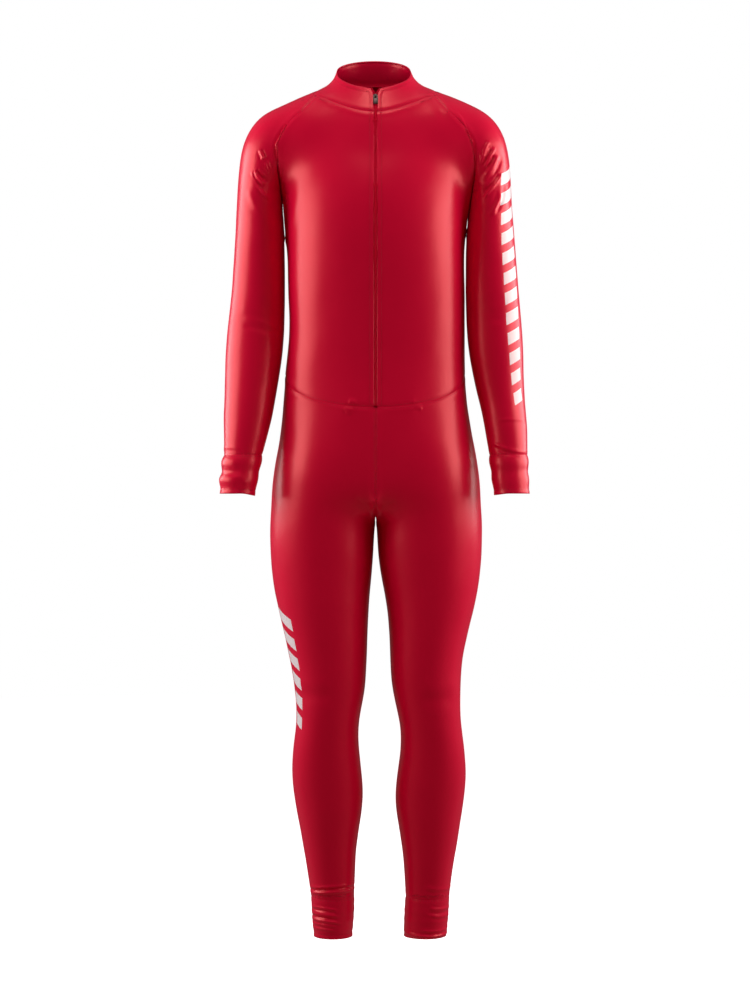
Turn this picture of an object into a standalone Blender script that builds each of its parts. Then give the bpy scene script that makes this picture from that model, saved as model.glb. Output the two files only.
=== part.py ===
"""A nordic ski race suit as it stands when worn: one piece, with a stand collar, a front zip,
raglan sleeves, a curved waist seam, tight legs, and soft bands at the wrists and ankles.

Every panel lies on one smooth form. The form is a few tubes with a row of sizes for each
section, melted together at the shoulders, the armpits and the crotch. A panel is a set of rows
between two seams, and panels that are sewn together share the points of their seam.

Tables are in millimetres. X points to the wearer's left, Y to the back, Z up. The origin is the
middle of the neck base, where the wearer's shoulders carry the suit.
"""

from collections import namedtuple

import bmesh
import bpy
import numpy as np
from mathutils import Matrix

COLLECTION = "nordic_ski_race_suit"
MM = 0.001

# Cloth and seams. The last row of a sleeve or leg is this close to its band.
WALL = 1.2
SEAM_GAP = 0.3
SEAM_ROW = 9.0

# Columns of the panels: segments from one seam to the next
FRONT_SEGMENTS = 10
BACK_SEGMENTS = 20
SLEEVE_SEGMENTS = 18
LEG_SEGMENTS = FRONT_SEGMENTS + BACK_SEGMENTS // 2

# Rows of the panels: segments along the body
SIDE_ROWS = 7
RAGLAN_ROWS = 7
SLEEVE_ROWS = 12
CUFF_ROWS = 7
HIP_ROWS = 7
LEG_ROWS = 14
ANKLE_ROWS = 9
COLLAR_ROWS = 4
CENTRE_SPREAD = 1.3
SLEEVE_SPREAD = 1.3
RELAX_STEPS = 12

# Heights of the seams that run round the suit
NECKLINE_FRONT = -47.0
NECKLINE_SIDE = 5.0
NECKLINE_BACK = 18.0
RIM_FRONT = -5.0
RIM_SIDE = 37.0
RIM_BACK = 62.0
WAIST_SIDE = -482.0
WAIST_FRONT_DROP = 58.0
WAIST_BACK_DROP = -8.0
# The body's depth before its middle at the waist, as a share of half its width
WAIST_FLATNESS = 0.59
CUFF_SEAM = -618.0
CUFF_END = -683.0
ANKLE_SEAM = -1368.0
ANKLE_END = -1436.0

# How far the centre front is from the middle of the neck
NECK_RADIUS = 64.0

# Where the raglan seams meet the neckline, in degrees round the neck from the centre front
RAGLAN_FRONT_ANGLE = 64.0
RAGLAN_BACK_ANGLE = 130.0

# The zip down the centre front: the edges of the cloth, then its own pieces
ZIP_SLIT = 2.2
ZIP_SPLAY = 6.0
TAPE_WIDTH = 11.0
TAPE_GAP = 0.55
TAPE_THICKNESS = 0.8
COIL_WIDTH = 1.75
COIL_PROUD = 0.3
ZIP_END_SHARE = 0.05
SLIDER_HEIGHT = -21.0
SLIDER_WIDTH = 6.8
SLIDER_LENGTH = 9.0
SLIDER_THICKNESS = 1.5
BRIDGE_WIDTH = 1.6
BRIDGE_LENGTH = 5.6
BRIDGE_HEIGHT = 3.5
BRIDGE_WALL = 1.1
BRIDGE_ROOT = 0.8
TAB_WIDTH = 8.0
TAB_LENGTH = 16.5
TAB_THICKNESS = 1.3
TAB_SLOT_WIDTH = 3.4
TAB_SLOT_LENGTH = 4.7
TAB_BAR = 1.3
TAB_LEAN = 2.5

# Softness of the joins between the tubes
NECK_MELT = 40.0
YOKE_MELT = 30.0
SHOULDER_MELT = 30.0
CROTCH_MELT = 22.0
PIT_LEVEL = -188.0
CROTCH_LEVEL = -722.0

# The softness grows from none to all of it between these heights over the armpit or the crotch.
PIT_FADE = (-8.0, 45.0)
CROTCH_FADE = (-12.0, 50.0)

# Where rays start that find the form: inside the neck, the waist, the body, a shoulder and the seat,
# or outside, under an armpit and the crotch, or in front of the suit
NECK_ASIDE = -2.0
WAIST_DEPTH = -14.0
BODY_DEPTH = -10.0
SHOULDER_HUB = (84.0, 8.0, -28.0)
SHOULDER_HUB_RISE = 22.0
SEAT_HUB_RISE = 70.0
PIT_START = -240.0
CROTCH_START_DEPTH = 4.0
CROTCH_START_DROP = 20.0
VIEW_DISTANCE = 320.0

# A ray goes this share of its distance from the form at each step, then settles on it.
CAST_STEPS = 70
CAST_SHARE = 0.45
SETTLE_STEPS = 8
SETTLE_SHARE = 0.8

# Points on a seam before its own are picked from them
SEAM_SAMPLES = 400
SEAT_SAMPLES = 60
UNDER_SAMPLES = 80

# A fold fades where the cloth turns from the view that it was placed in.
FOLD_FACING = 0.6

Section = namedtuple("Section", "at low high front back")

# A section gives its place along the tube, its reach to the two sides, and to front and back.
TORSO = (
    Section(-60, -130, 128, -74, 80),
    Section(-130, -151, 149, -101, 101),
    Section(-190, -153, 151, -116, 109),
    Section(-260, -150, 150, -117, 102),
    Section(-340, -148, 151, -109, 86),
    Section(-410, -146, 151, -103, 75),
    Section(-480, -153, 152, -101, 75),
    Section(-530, -157, 156, -104, 87),
    Section(-600, -164, 167, -107, 108),
    Section(-660, -172, 175, -105, 120),
    Section(-720, -179, 181, -98, 116),
)
NECK = (
    Section(-60, -80, 76, -78, 74),
    Section(-20, -74, 70, -66, 68),
    Section(10, -69, 64, -61, 63),
    Section(35, -65, 59, -58, 57),
    Section(70, -62, 57, -56, 48),
)
# The yoke runs sideways, so its sides are its underside and its top.
YOKE = (
    Section(-200, -130, -45, -56, 60),
    Section(-184, -140, -38, -62, 66),
    Section(-148, -150, -20, -74, 80),
    Section(-107, -150, -2, -80, 88),
    Section(-60, -150, 5, -80, 90),
    Section(0, -150, 2, -80, 90),
    Section(60, -150, 5, -80, 90),
    Section(107, -150, -1, -80, 88),
    Section(148, -150, -17, -74, 80),
    Section(184, -140, -34, -62, 66),
    Section(200, -130, -45, -56, 60),
)
ARM_RIGHT = (
    Section(-60, -222, -150, -58, 60),
    Section(-120, -231, -153, -60, 62),
    Section(-187, -236.5, -157.5, -57, 59),
    Section(-240, -238, -154, -52, 54),
    Section(-300, -242.5, -152.8, -49, 48),
    Section(-340, -245, -153, -50, 46),
    Section(-408, -253, -153.5, -54, 42),
    Section(-459, -255.5, -158, -60, 36),
    Section(-510, -255, -166.5, -66, 25),
    Section(-560, -257, -174.5, -73, 12),
    Section(-610, -255.5, -187.5, -78, -6),
    Section(-646, -260, -194, -84, -18),
    Section(-690, -262, -202.5, -90, -28),
)
ARM_LEFT = (
    Section(-60, 150, 219, -58, 60),
    Section(-120, 154, 228, -60, 62),
    Section(-187, 157.5, 231, -60, 56),
    Section(-240, 153.5, 235, -62, 44),
    Section(-300, 151.8, 240, -66, 33),
    Section(-340, 151.8, 243, -68, 28),
    Section(-408, 153.5, 249, -68, 28),
    Section(-459, 159, 251, -68, 26),
    Section(-510, 170, 252, -66, 25),
    Section(-560, 182, 256, -73, 12),
    Section(-610, 189, 257, -78, -6),
    Section(-646, 193, 257, -84, -18),
    Section(-690, 199, 259, -90, -28),
)
LEG_RIGHT = (
    Section(-600, -158, -20, -98, 102),
    Section(-660, -168, -8, -97, 114),
    Section(-722, -180, -1.0, -94, 110),
    Section(-790, -179.5, -1.5, -90, 94),
    Section(-850, -173, -8.5, -86, 83),
    Section(-910, -158, -12, -82, 74),
    Section(-960, -146, -13.6, -78, 66),
    Section(-1010, -137.7, -15.3, -74, 58),
    Section(-1060, -133.5, -27, -70, 50),
    Section(-1088, -134, -32, -66, 49),
    Section(-1120, -142, -27.5, -62, 55),
    Section(-1160, -144.5, -21.5, -58, 66),
    Section(-1190, -141, -18.7, -54, 71),
    Section(-1220, -135.5, -21.5, -50, 70),
    Section(-1260, -127, -29, -44, 66),
    Section(-1300, -120.5, -34, -38, 60),
    Section(-1360, -111.5, -35, -32, 54),
    Section(-1440, -105, -39, -28, 54),
)
LEG_LEFT = (
    Section(-600, 20, 161, -98, 102),
    Section(-660, 8, 171, -97, 114),
    Section(-722, 1.0, 182, -94, 110),
    Section(-790, 1.5, 182, -90, 94),
    Section(-850, 14.5, 174.5, -86, 83),
    Section(-910, 23.5, 160.2, -82, 74),
    Section(-960, 23.5, 147, -78, 66),
    Section(-1010, 26, 145.7, -74, 58),
    Section(-1060, 39.5, 143.3, -70, 50),
    Section(-1088, 46.0, 148, -66, 49),
    Section(-1120, 43.0, 153, -62, 55),
    Section(-1160, 35.4, 156.4, -58, 66),
    Section(-1190, 32.3, 153, -54, 71),
    Section(-1220, 33, 148.8, -50, 70),
    Section(-1260, 41, 142.8, -44, 66),
    Section(-1300, 46.8, 136, -38, 60),
    Section(-1360, 50.5, 127.5, -32, 54),
    Section(-1440, 47.5, 121, -28, 54),
)

# A raglan seam from the neckline to the armpit, as seen from the front or the back
SeamPoint = namedtuple("SeamPoint", "x z")
RAGLAN_FRONT_RIGHT = (
    SeamPoint(-121, -41),
    SeamPoint(-149, -62),
    SeamPoint(-164, -87),
    SeamPoint(-169, -112),
    SeamPoint(-164, -141),
    SeamPoint(-159.6, -160),
)
RAGLAN_FRONT_LEFT = (
    SeamPoint(114, -37),
    SeamPoint(140, -57),
    SeamPoint(159, -80),
    SeamPoint(167, -103),
    SeamPoint(170, -130),
    SeamPoint(165, -158),
)
RAGLAN_BACK_RIGHT = (
    SeamPoint(-96, -18),
    SeamPoint(-128, -55),
    SeamPoint(-150, -92),
    SeamPoint(-160, -125),
    SeamPoint(-159, -158),
)
RAGLAN_BACK_LEFT = (
    SeamPoint(93, -18),
    SeamPoint(126, -55),
    SeamPoint(150, -92),
    SeamPoint(161, -125),
    SeamPoint(162, -158),
)

Fold = namedtuple("Fold", "x z x_end z_end width height")
RingFold = namedtuple("RingFold", "z width height")

# The largest folds, soft ridges above 0 and troughs below 0, as seen from the front or the back
FRONT_FOLDS = (
    Fold(-203, -98, -184, -146, 8, 2.4),
    Fold(-214, -122, -187, -166, 8, 2.6),
    Fold(-196, -128, -176, -170, 7, -2.2),
    Fold(-214, -168, -188, -226, 10, 2.2),
    Fold(195, -88, 183, -132, 8, 2.4),
    Fold(210, -110, 188, -160, 8, 2.6),
    Fold(219, -146, 185, -186, 8, 2.4),
    Fold(203, -122, 181, -168, 7, -2.2),
    Fold(216, -185, 186, -252, 10, 2.2),
    Fold(-152, -150, -128, -178, 9, 1.8),
    Fold(152, -148, 126, -172, 9, 1.8),
    Fold(-50, -532, -36, -552, 8, 1.5),
    Fold(58, -534, 74, -550, 8, 1.6),
    Fold(-222, -372, -158, -388, 9, -2.0),
    Fold(224, -366, 160, -380, 9, -1.8),
)
BACK_FOLDS = (
    Fold(-206, -100, -184, -150, 9, 2.4),
    Fold(-214, -138, -186, -188, 9, 2.4),
    Fold(204, -96, 183, -146, 9, 2.4),
    Fold(214, -134, 186, -184, 9, 2.4),
    Fold(-148, -150, -122, -182, 10, 2.0),
    Fold(150, -150, 124, -184, 10, 2.0),
    Fold(-110, -470, -20, -462, 11, 2.0),
    Fold(112, -474, 24, -458, 11, 2.0),
    Fold(-118, -760, -40, -748, 9, -2.0),
    Fold(120, -758, 40, -748, 9, -2.0),
)
SLEEVE_RINGS = (RingFold(-609, 6, 1.2), RingFold(CUFF_SEAM, 4, -1.2))
CUFF_RINGS = (
    RingFold(CUFF_SEAM, 4, -1.2),
    RingFold(-630, 7, 1.7),
    RingFold(-645, 6, -1.2),
    RingFold(-660, 7, 1.6),
    RingFold(-674, 6, -0.8),
)
LEG_RINGS = (RingFold(-1355, 6, 1.5), RingFold(ANKLE_SEAM, 4, -0.5))
ANKLE_RINGS = (
    RingFold(ANKLE_SEAM, 4, -0.5),
    RingFold(-1376, 5, 0.6),
    RingFold(-1391, 5, 1.5),
    RingFold(-1406, 5, 1.4),
    RingFold(-1421, 5, 1.0),
    RingFold(-1429, 5, -0.8),
)

FRONTWARD = np.array((0.0, -1.0, 0.0))
BACKWARD = np.array((0.0, 1.0, 0.0))
UPWARD = np.array((0.0, 0.0, 1.0))
LEFTWARD = np.array((1.0, 0.0, 0.0))


def through(knots, values):
    """A smooth curve through a table's values, as a function."""
    knots = np.array(knots, float)
    values = np.array(values, float)
    if knots[0] > knots[-1]:
        knots, values = knots[::-1], values[::-1]
    steps = np.diff(values, axis=0).T / np.diff(knots)
    slopes = np.concatenate([steps[..., :1], (steps[..., :-1] + steps[..., 1:]) / 2, steps[..., -1:]], -1)
    values = values.T

    def at(place):
        place = np.clip(place, knots[0], knots[-1])
        i = np.clip(np.searchsorted(knots, place) - 1, 0, len(knots) - 2)
        width = knots[i + 1] - knots[i]
        t = (place - knots[i]) / width
        start = values[..., i] * (1 + 2 * t) * (1 - t) ** 2 + slopes[..., i] * width * t * (1 - t) ** 2
        end = values[..., i + 1] * t * t * (3 - 2 * t) - slopes[..., i + 1] * width * t * t * (1 - t)
        return np.moveaxis(start + end, 0, -1) if values.ndim > 1 else start + end

    return at


def tube(axis, sections, power, top, dome, foot, heel):
    """A tube along an axis. It closes in a dome above top and, in a like one, below foot."""
    sizes = through([s.at for s in sections], [(s.low, s.high, s.front, s.back) for s in sections])
    side = {2: 0, 0: 2}[axis]

    def gap(points):
        place = points[..., axis]
        low, high, front, back = np.moveaxis(sizes(place), -1, 0)
        past = np.maximum(place - top, 0) / dome + np.maximum(foot - place, 0) / heel
        across = (points[..., side] - (low + high) / 2) / ((high - low) / 2)
        deep = (points[..., 1] - (front + back) / 2) / ((back - front) / 2)
        shares = np.abs(np.stack([across, deep, past], -1)) + 1e-9
        reaches = np.stack([(high - low) / 2, (back - front) / 2, np.full_like(low, min(dome, heel))], -1)
        ratio = (shares**power).sum(-1) ** (1 / power)
        slope = ratio ** (1 - power) * np.sqrt(((shares ** (power - 1) / reaches) ** 2).sum(-1))
        return (ratio - 1) / slope

    return gap


def melt(first, second, softness):
    """The nearer of two surfaces, with a soft hollow where they meet."""
    softness = np.maximum(softness, 1e-6)
    share = np.clip(0.5 + 0.5 * (second - first) / softness, 0, 1)
    return second + (first - second) * share - softness * share * (1 - share)


def fade(place, start, end):
    """0 before start, 1 after end, and smooth between."""
    t = np.clip((place - start) / (end - start), 0, 1)
    return t * t * (3 - 2 * t)


torso_gap = tube(2, TORSO, power=2.3, top=-110, dome=60, foot=-688, heel=40)
neck_gap = tube(2, NECK, power=2.0, top=90, dome=40, foot=-70, heel=40)
yoke_gap = tube(0, YOKE, power=2.2, top=175, dome=32, foot=-175, heel=32)
arm_gaps = [tube(2, arm, power=2.0, top=-98, dome=54, foot=-900, heel=40) for arm in (ARM_RIGHT, ARM_LEFT)]
leg_gaps = [tube(2, leg, power=2.1, top=-640, dome=60, foot=-1700, heel=40) for leg in (LEG_RIGHT, LEG_LEFT)]


def form(points):
    """How far points are outside the suit's outer surface, in millimetres, and below 0 inside."""
    height = points[..., 2]
    body = melt(torso_gap(points), yoke_gap(points), YOKE_MELT)
    body = melt(body, neck_gap(points), NECK_MELT)
    arm_softness = SHOULDER_MELT * fade(height - PIT_LEVEL, *PIT_FADE)
    leg_softness = CROTCH_MELT * fade(height - CROTCH_LEVEL, *CROTCH_FADE)
    for arm in arm_gaps:
        body = melt(body, arm(points), arm_softness)
    for leg in leg_gaps:
        body = melt(body, leg(points), leg_softness)
    return body


def cast(starts, ways, leaving=True):
    """Where rays meet the form: on their way out of it, or on their way in."""
    starts = np.broadcast_to(np.asarray(starts, float), np.shape(ways)).copy()
    side = -1.0 if leaving else 1.0
    near = np.zeros(starts.shape[:-1])
    for _ in range(CAST_STEPS):
        gap = side * form(starts + ways * near[..., None])
        near = near + np.where(gap > 0, CAST_SHARE * gap, 0)
    for _ in range(SETTLE_STEPS):
        gap = side * form(starts + ways * near[..., None])
        near = near + SETTLE_SHARE * gap
    return starts + ways * near[..., None]


def unit(vectors):
    """The same directions, each of length 1."""
    return vectors / np.linalg.norm(vectors, axis=-1, keepdims=True)


def normals_at(points):
    """The directions that point straight out of the form."""
    step = 0.05
    shifts = np.eye(3) * step
    slopes = [form(points + s) - form(points - s) for s in shifts]
    return unit(np.stack(slopes, -1))


def sweep(centre, start, end, forward, outward, count):
    """Points on the form from start to end, fanned out from a centre: forward, outward, back."""
    upward = np.cross(forward, outward)
    angles = []
    tilts = []
    for point in (start, end):
        arm = np.asarray(point) - centre
        ahead, aside, above = arm @ forward, arm @ outward, arm @ upward
        angles.append(np.arctan2(aside, ahead))
        tilts.append(np.arctan2(above, np.hypot(ahead, aside)))
    if angles[1] <= angles[0] + 0.01:
        angles[1] += 2 * np.pi
    t = np.linspace(0, 1, count + 1)
    angle = angles[0] + (angles[1] - angles[0]) * t
    tilt = tilts[0] * np.maximum(0, 1 - 2 * t) ** 2 + tilts[1] * np.maximum(0, 2 * t - 1) ** 2
    flat = np.cos(angle)[:, None] * forward + np.sin(angle)[:, None] * outward
    ways = np.cos(tilt)[:, None] * flat + np.sin(tilt)[:, None] * upward
    row = cast(centre, ways)
    row[0], row[-1] = start, end
    return row


def round_height(angle, front, side, back):
    """The height of a seam that runs round the body, from its front, side and back heights."""
    middle = (front + back) / 2
    return (middle + side) / 2 + (front - back) / 2 * np.cos(angle) + (middle - side) / 2 * np.cos(2 * angle)


def neck_points(angles, front, side, back):
    """Points on the form round the neck, at angles from the centre front towards the left."""
    angles = np.asarray(angles, float)
    ways = np.stack([np.sin(angles), -np.cos(angles), np.zeros_like(angles)], -1)
    heights = round_height(angles, front, side, back)
    starts = np.zeros(ways.shape)
    starts[..., 0] = NECK_ASIDE
    starts[..., 2] = heights
    return cast(starts, ways)


def waist_height(angle):
    """The height of the waist seam, which dips at the front in a round arc."""
    ahead = np.cos(angle)
    arc = np.cos(np.arctan2(WAIST_FLATNESS * np.sin(angle), ahead))
    drop = np.where(ahead > 0, WAIST_FRONT_DROP * arc, WAIST_BACK_DROP * ahead ** 2)
    return WAIST_SIDE - drop


def waist_points(angles):
    """Points of the waist seam, at angles from the centre front towards the left."""
    angles = np.asarray(angles, float)
    ways = np.stack([np.sin(angles), -np.cos(angles), np.zeros_like(angles)], -1)
    starts = np.zeros(ways.shape)
    starts[..., 1] = WAIST_DEPTH
    starts[..., 2] = waist_height(angles)
    return cast(starts, ways)


def onto_form(xs, zs, way):
    """Points on the front or the back of the form, from where they are seen."""
    starts = np.stack([xs, -VIEW_DISTANCE * way[1] * np.ones_like(xs), zs], -1)
    return cast(starts, np.broadcast_to(way, starts.shape), leaving=False)


def centre_front(heights, aside):
    """Points on the front of the form, this far to the side of its centre."""
    heights = np.asarray(heights, float)
    return onto_form(np.broadcast_to(aside, heights.shape).astype(float), heights, BACKWARD)


def pit_point(side):
    """The top of the narrow space between an arm and the side of the body."""
    inner = ARM_RIGHT[2].high if side < 0 else ARM_LEFT[2].low
    body = TORSO[2].low if side < 0 else TORSO[2].high
    return cast(np.array([((inner + body) / 2, 0.0, PIT_START)]), UPWARD[None], leaving=False)[0]


def crotch_point():
    """The top of the space between the legs."""
    start = np.array([(0.0, CROTCH_START_DEPTH, CROTCH_LEVEL - CROTCH_START_DROP)])
    return cast(start, UPWARD[None], leaving=False)[0]


def along(line):
    """The length of a line of points from its start to each of them."""
    return np.concatenate([[0], np.cumsum(np.linalg.norm(np.diff(line, axis=0), axis=1))])


def spaced(curve, count):
    """count + 1 points along a curve that is given as a function of 0 to 1, evenly apart."""
    shares = np.linspace(0, 1, SEAM_SAMPLES)
    lengths = along(curve(shares))
    return curve(np.interp(np.linspace(0, lengths[-1], count + 1), lengths, shares))


def raglan(neck_end, table, pit, way):
    """A raglan seam from the neckline down to the armpit."""
    places = np.array([(neck_end[0], neck_end[2]), *table, (pit[0], pit[2])], float)
    seen = spaced(through(np.linspace(0, 1, len(places)), places), RAGLAN_ROWS)
    seam = onto_form(seen[:, 0], seen[:, 1], way)
    seam[0], seam[-1] = neck_end, pit
    return seam


def side_seam(pit, waist_end, side):
    """From the armpit down the side of the body to the waist seam."""
    heights = np.linspace(pit[2], waist_end[2], SIDE_ROWS + 1)
    ways = np.zeros((len(heights), 3))
    ways[:, 0] = side
    starts = np.zeros(ways.shape)
    starts[:, 1] = pit[1] + (waist_end[1] - pit[1]) * np.linspace(0, 1, len(heights))
    starts[:, 2] = heights
    seam = cast(starts, ways)
    seam[0], seam[-1] = pit, waist_end
    return seam


class Suit:
    """The seams of one side and the panels between them. side is -1 for the right, 1 for the left."""

    def __init__(self, side):
        self.side = side
        self.outward = LEFTWARD * side
        self.pit = pit_point(side)
        turn = np.radians((RAGLAN_FRONT_ANGLE, RAGLAN_BACK_ANGLE)) * side
        start = np.arcsin(ZIP_SLIT / NECK_RADIUS) * side
        neck = (NECKLINE_FRONT, NECKLINE_SIDE, NECKLINE_BACK)
        front_turn = np.linspace(start, turn[0], FRONT_SEGMENTS + 1)
        sleeve_turn = np.linspace(*turn, SLEEVE_SEGMENTS + 1)
        back_turn = np.linspace(turn[1], np.pi * side, BACK_SEGMENTS // 2 + 1)
        self.neck_angles = np.concatenate([front_turn, sleeve_turn[1:], back_turn[1:]])
        self.neck_front = neck_points(front_turn, *neck)
        self.neck_front[0] = centre_front([NECKLINE_FRONT], side * ZIP_SLIT)[0]
        self.neck_sleeve = neck_points(sleeve_turn, *neck)
        self.neck_back = neck_points(back_turn, *neck)
        tables = {-1: (RAGLAN_FRONT_RIGHT, RAGLAN_BACK_RIGHT), 1: (RAGLAN_FRONT_LEFT, RAGLAN_BACK_LEFT)}
        front, back = tables[side]
        self.raglan_front = raglan(self.neck_front[-1], front, self.pit, BACKWARD)
        self.raglan_back = raglan(self.neck_back[0], back, self.pit, FRONTWARD)
        quarter = np.pi / 2 * side
        self.waist_front = waist_points(np.linspace(0, quarter, FRONT_SEGMENTS + 1))
        self.waist_back = waist_points(np.linspace(quarter, 2 * quarter, BACK_SEGMENTS // 2 + 1))
        self.side_seam = side_seam(self.pit, self.waist_front[-1], side)

    def upper_front(self):
        """Rows from the neckline down to the waist, each from the zip to the side."""
        ends = np.concatenate([self.raglan_front, self.side_seam[1:]])
        waist = self.waist_front.copy()
        waist[0] = centre_front([waist[0][2]], self.side * ZIP_SLIT)[0]
        share = np.linspace(0, 1, len(ends)) ** CENTRE_SPREAD
        starts = centre_front(NECKLINE_FRONT + (waist[0][2] - NECKLINE_FRONT) * share, self.side * ZIP_SLIT)
        rows = [self.neck_front]
        for start, end in zip(starts[1:-1], ends[1:-1]):
            centre = np.array((0, BODY_DEPTH, (start[2] + end[2]) / 2))
            rows.append(sweep(centre, start, end, FRONTWARD, self.outward, FRONT_SEGMENTS))
        return np.array([*rows, waist])

    def half_back(self):
        """Rows from the neckline down to the waist, each from the side to the centre back."""
        ends = np.concatenate([self.raglan_back, self.side_seam[1:]])
        top, bottom = self.neck_back[-1], self.waist_back[-1]
        heights = top[2] + (bottom[2] - top[2]) * np.linspace(0, 1, len(ends)) ** CENTRE_SPREAD
        middles = onto_form(np.zeros(len(ends)), heights, FRONTWARD)
        rows = [self.neck_back]
        for start, middle in zip(ends[1:-1], middles[1:-1]):
            centre = np.array((0, BODY_DEPTH, (start[2] + middle[2]) / 2))
            row = sweep(centre, middle, start, BACKWARD, self.outward, BACK_SEGMENTS // 2)
            rows.append(row[::-1])
        return np.array([*rows, self.waist_back])

    def sleeve(self):
        """Rows from the neckline over the shoulder, then rings down to the cuff seam."""
        table = ARM_RIGHT if self.side < 0 else ARM_LEFT
        rows = [self.neck_sleeve]
        hub_low = np.array((0.5 * (table[2].low + table[2].high), 0, self.pit[2]))
        hub_high = np.array(SHOULDER_HUB) * (self.side, 1, 1)
        for k in range(1, RAGLAN_ROWS + 1):
            t = k / RAGLAN_ROWS
            front, back = self.raglan_front[k], self.raglan_back[k]
            hub = hub_high + (hub_low - hub_high) * t
            hub[2] += SHOULDER_HUB_RISE * np.sin(np.pi * t)
            turn = np.pi / 2 * fade(t, 0.0, 1.0)
            outward = np.sin(turn) * self.outward + np.cos(turn) * UPWARD
            rows.append(sweep(hub, front, back, FRONTWARD, outward, SLEEVE_SEGMENTS))
        sizes = through([s.at for s in table], [(s.low + s.high, s.front + s.back) for s in table])
        spread = np.linspace(0, 1, SLEEVE_ROWS)[1:] ** SLEEVE_SPREAD
        heights = self.pit[2] + (CUFF_SEAM + SEAM_ROW - self.pit[2]) * spread
        for z in (*heights, CUFF_SEAM):
            rows.append(self.ring(sizes, z, SLEEVE_SEGMENTS))
        return np.array(rows)

    def ring(self, sizes, height, count):
        """A closed ring round a limb, from its inner side through the front and back again."""
        across, deep = sizes(np.float64(height)) / 2
        hub = np.array((across, deep, height))
        angle = np.linspace(-np.pi / 2, 1.5 * np.pi, count + 1)
        ways = np.cos(angle)[:, None] * FRONTWARD + np.sin(angle)[:, None] * self.outward
        row = cast(hub, ways)
        row[-1] = row[0]
        return row

    def leg(self, crotch, seam_front, seam_back):
        """Rows from the waist to the crotch, then rings down to the ankle seam."""
        table = LEG_RIGHT if self.side < 0 else LEG_LEFT
        rows = [np.concatenate([self.waist_front, self.waist_back[1:]])]
        sizes = through([s.at for s in table], [(s.low + s.high, s.front + s.back) for s in table])
        side_heights = np.linspace(WAIST_SIDE, crotch[2], HIP_ROWS + 1)
        hub_low = np.array((*sizes(np.float64(crotch[2])) / 2, crotch[2]))
        for k in range(1, HIP_ROWS + 1):
            t = k / HIP_ROWS
            hub = np.array((0, BODY_DEPTH, 0)) * (1 - t) + hub_low * t
            hub[2] = side_heights[k]
            rows.append(sweep(hub, seam_front[k], seam_back[k], FRONTWARD, self.outward, LEG_SEGMENTS))
        for z in (*np.linspace(crotch[2], ANKLE_SEAM + SEAM_ROW, LEG_ROWS)[1:], ANKLE_SEAM):
            rows.append(self.ring(sizes, z, LEG_SEGMENTS))
        return np.array(rows)

    def band(self, table, top, bottom, rows, count):
        """A short tube at the end of a limb."""
        sizes = through([s.at for s in table], [(s.low + s.high, s.front + s.back) for s in table])
        return np.array([self.ring(sizes, z, count) for z in np.linspace(top, bottom, rows + 1)])


def seat_seam(top, crotch, way):
    """The centre seam from the waist down the front or the back, and in under the body."""
    hub = np.array((0.0, crotch[1], crotch[2] + SEAT_HUB_RISE))
    heights = np.linspace(top[2], hub[2], SEAT_SAMPLES)
    starts = hub + (heights - hub[2])[:, None] * UPWARD
    straight = cast(starts, np.broadcast_to(way, starts.shape))
    turn = np.pi / 2 * np.linspace(0, 1, UNDER_SAMPLES)[1:, None]
    under = cast(hub, np.cos(turn) * way - np.sin(turn) * UPWARD)
    path = np.concatenate([straight, under])
    path[0], path[-1] = top, crotch
    lengths = along(path)
    marks = np.linspace(0, lengths[-1], HIP_ROWS + 1)
    return np.stack([np.interp(marks, lengths, path[:, k]) for k in range(3)], -1)


def slit(height):
    """Half the width between the edges of the cloth at the zip, which is open above its slider."""
    return ZIP_SLIT + ZIP_SPLAY * fade(height, SLIDER_HEIGHT + SLIDER_LENGTH / 2, RIM_FRONT)


def collar_rows(suits):
    """Rows from the neckline up to the rim, each from the right edge round the back to the left."""
    right, left = suits
    rows = []
    for t in np.linspace(0, 1, COLLAR_ROWS + 1):
        front = NECKLINE_FRONT + (RIM_FRONT - NECKLINE_FRONT) * t
        side = NECKLINE_SIDE + (RIM_SIDE - NECKLINE_SIDE) * t
        back = NECKLINE_BACK + (RIM_BACK - NECKLINE_BACK) * t
        halves = []
        for suit in (right, left):
            angles = suit.neck_angles.copy()
            start = suit.side * np.arcsin(slit(front) / NECK_RADIUS)
            angles[:FRONT_SEGMENTS] = np.linspace(start, angles[FRONT_SEGMENTS], FRONT_SEGMENTS, False)
            half = neck_points(angles, front, side, back)
            half[0] = centre_front([front], suit.side * slit(front))[0]
            halves.append(half)
        rows.append(np.concatenate([halves[0], halves[1][-2::-1]]))
    return np.array(rows)


def relaxed(rows, closed):
    """A panel with its inner points evened out over the form. Its seams stay where they are."""
    points = rows.copy()
    for _ in range(RELAX_STEPS):
        mean = points.copy()
        mean[1:-1, 1:-1] = (points[:-2, 1:-1] + points[2:, 1:-1] + points[1:-1, :-2] + points[1:-1, 2:]) / 4
        if closed is not None:
            above, here, below = points[closed:-2], points[closed + 1:-1], points[closed + 2:]
            mean[closed + 1:-1, 0] = (above[:, 0] + below[:, 0] + here[:, 1] + here[:, -2]) / 4
            mean[closed + 1:-1, -1] = mean[closed + 1:-1, 0]
        for _ in range(2):
            mean -= form(mean)[..., None] * normals_at(mean)
        points[1:-1] = mean[1:-1]
    return points


def step_in(line, inner):
    """The short way from each point of a seam into its panel: half of the gap."""
    run = unit(np.gradient(line, axis=0))
    into = inner - line
    into = into - (into * run).sum(-1, keepdims=True) * run
    return SEAM_GAP / 2 * unit(into)


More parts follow.
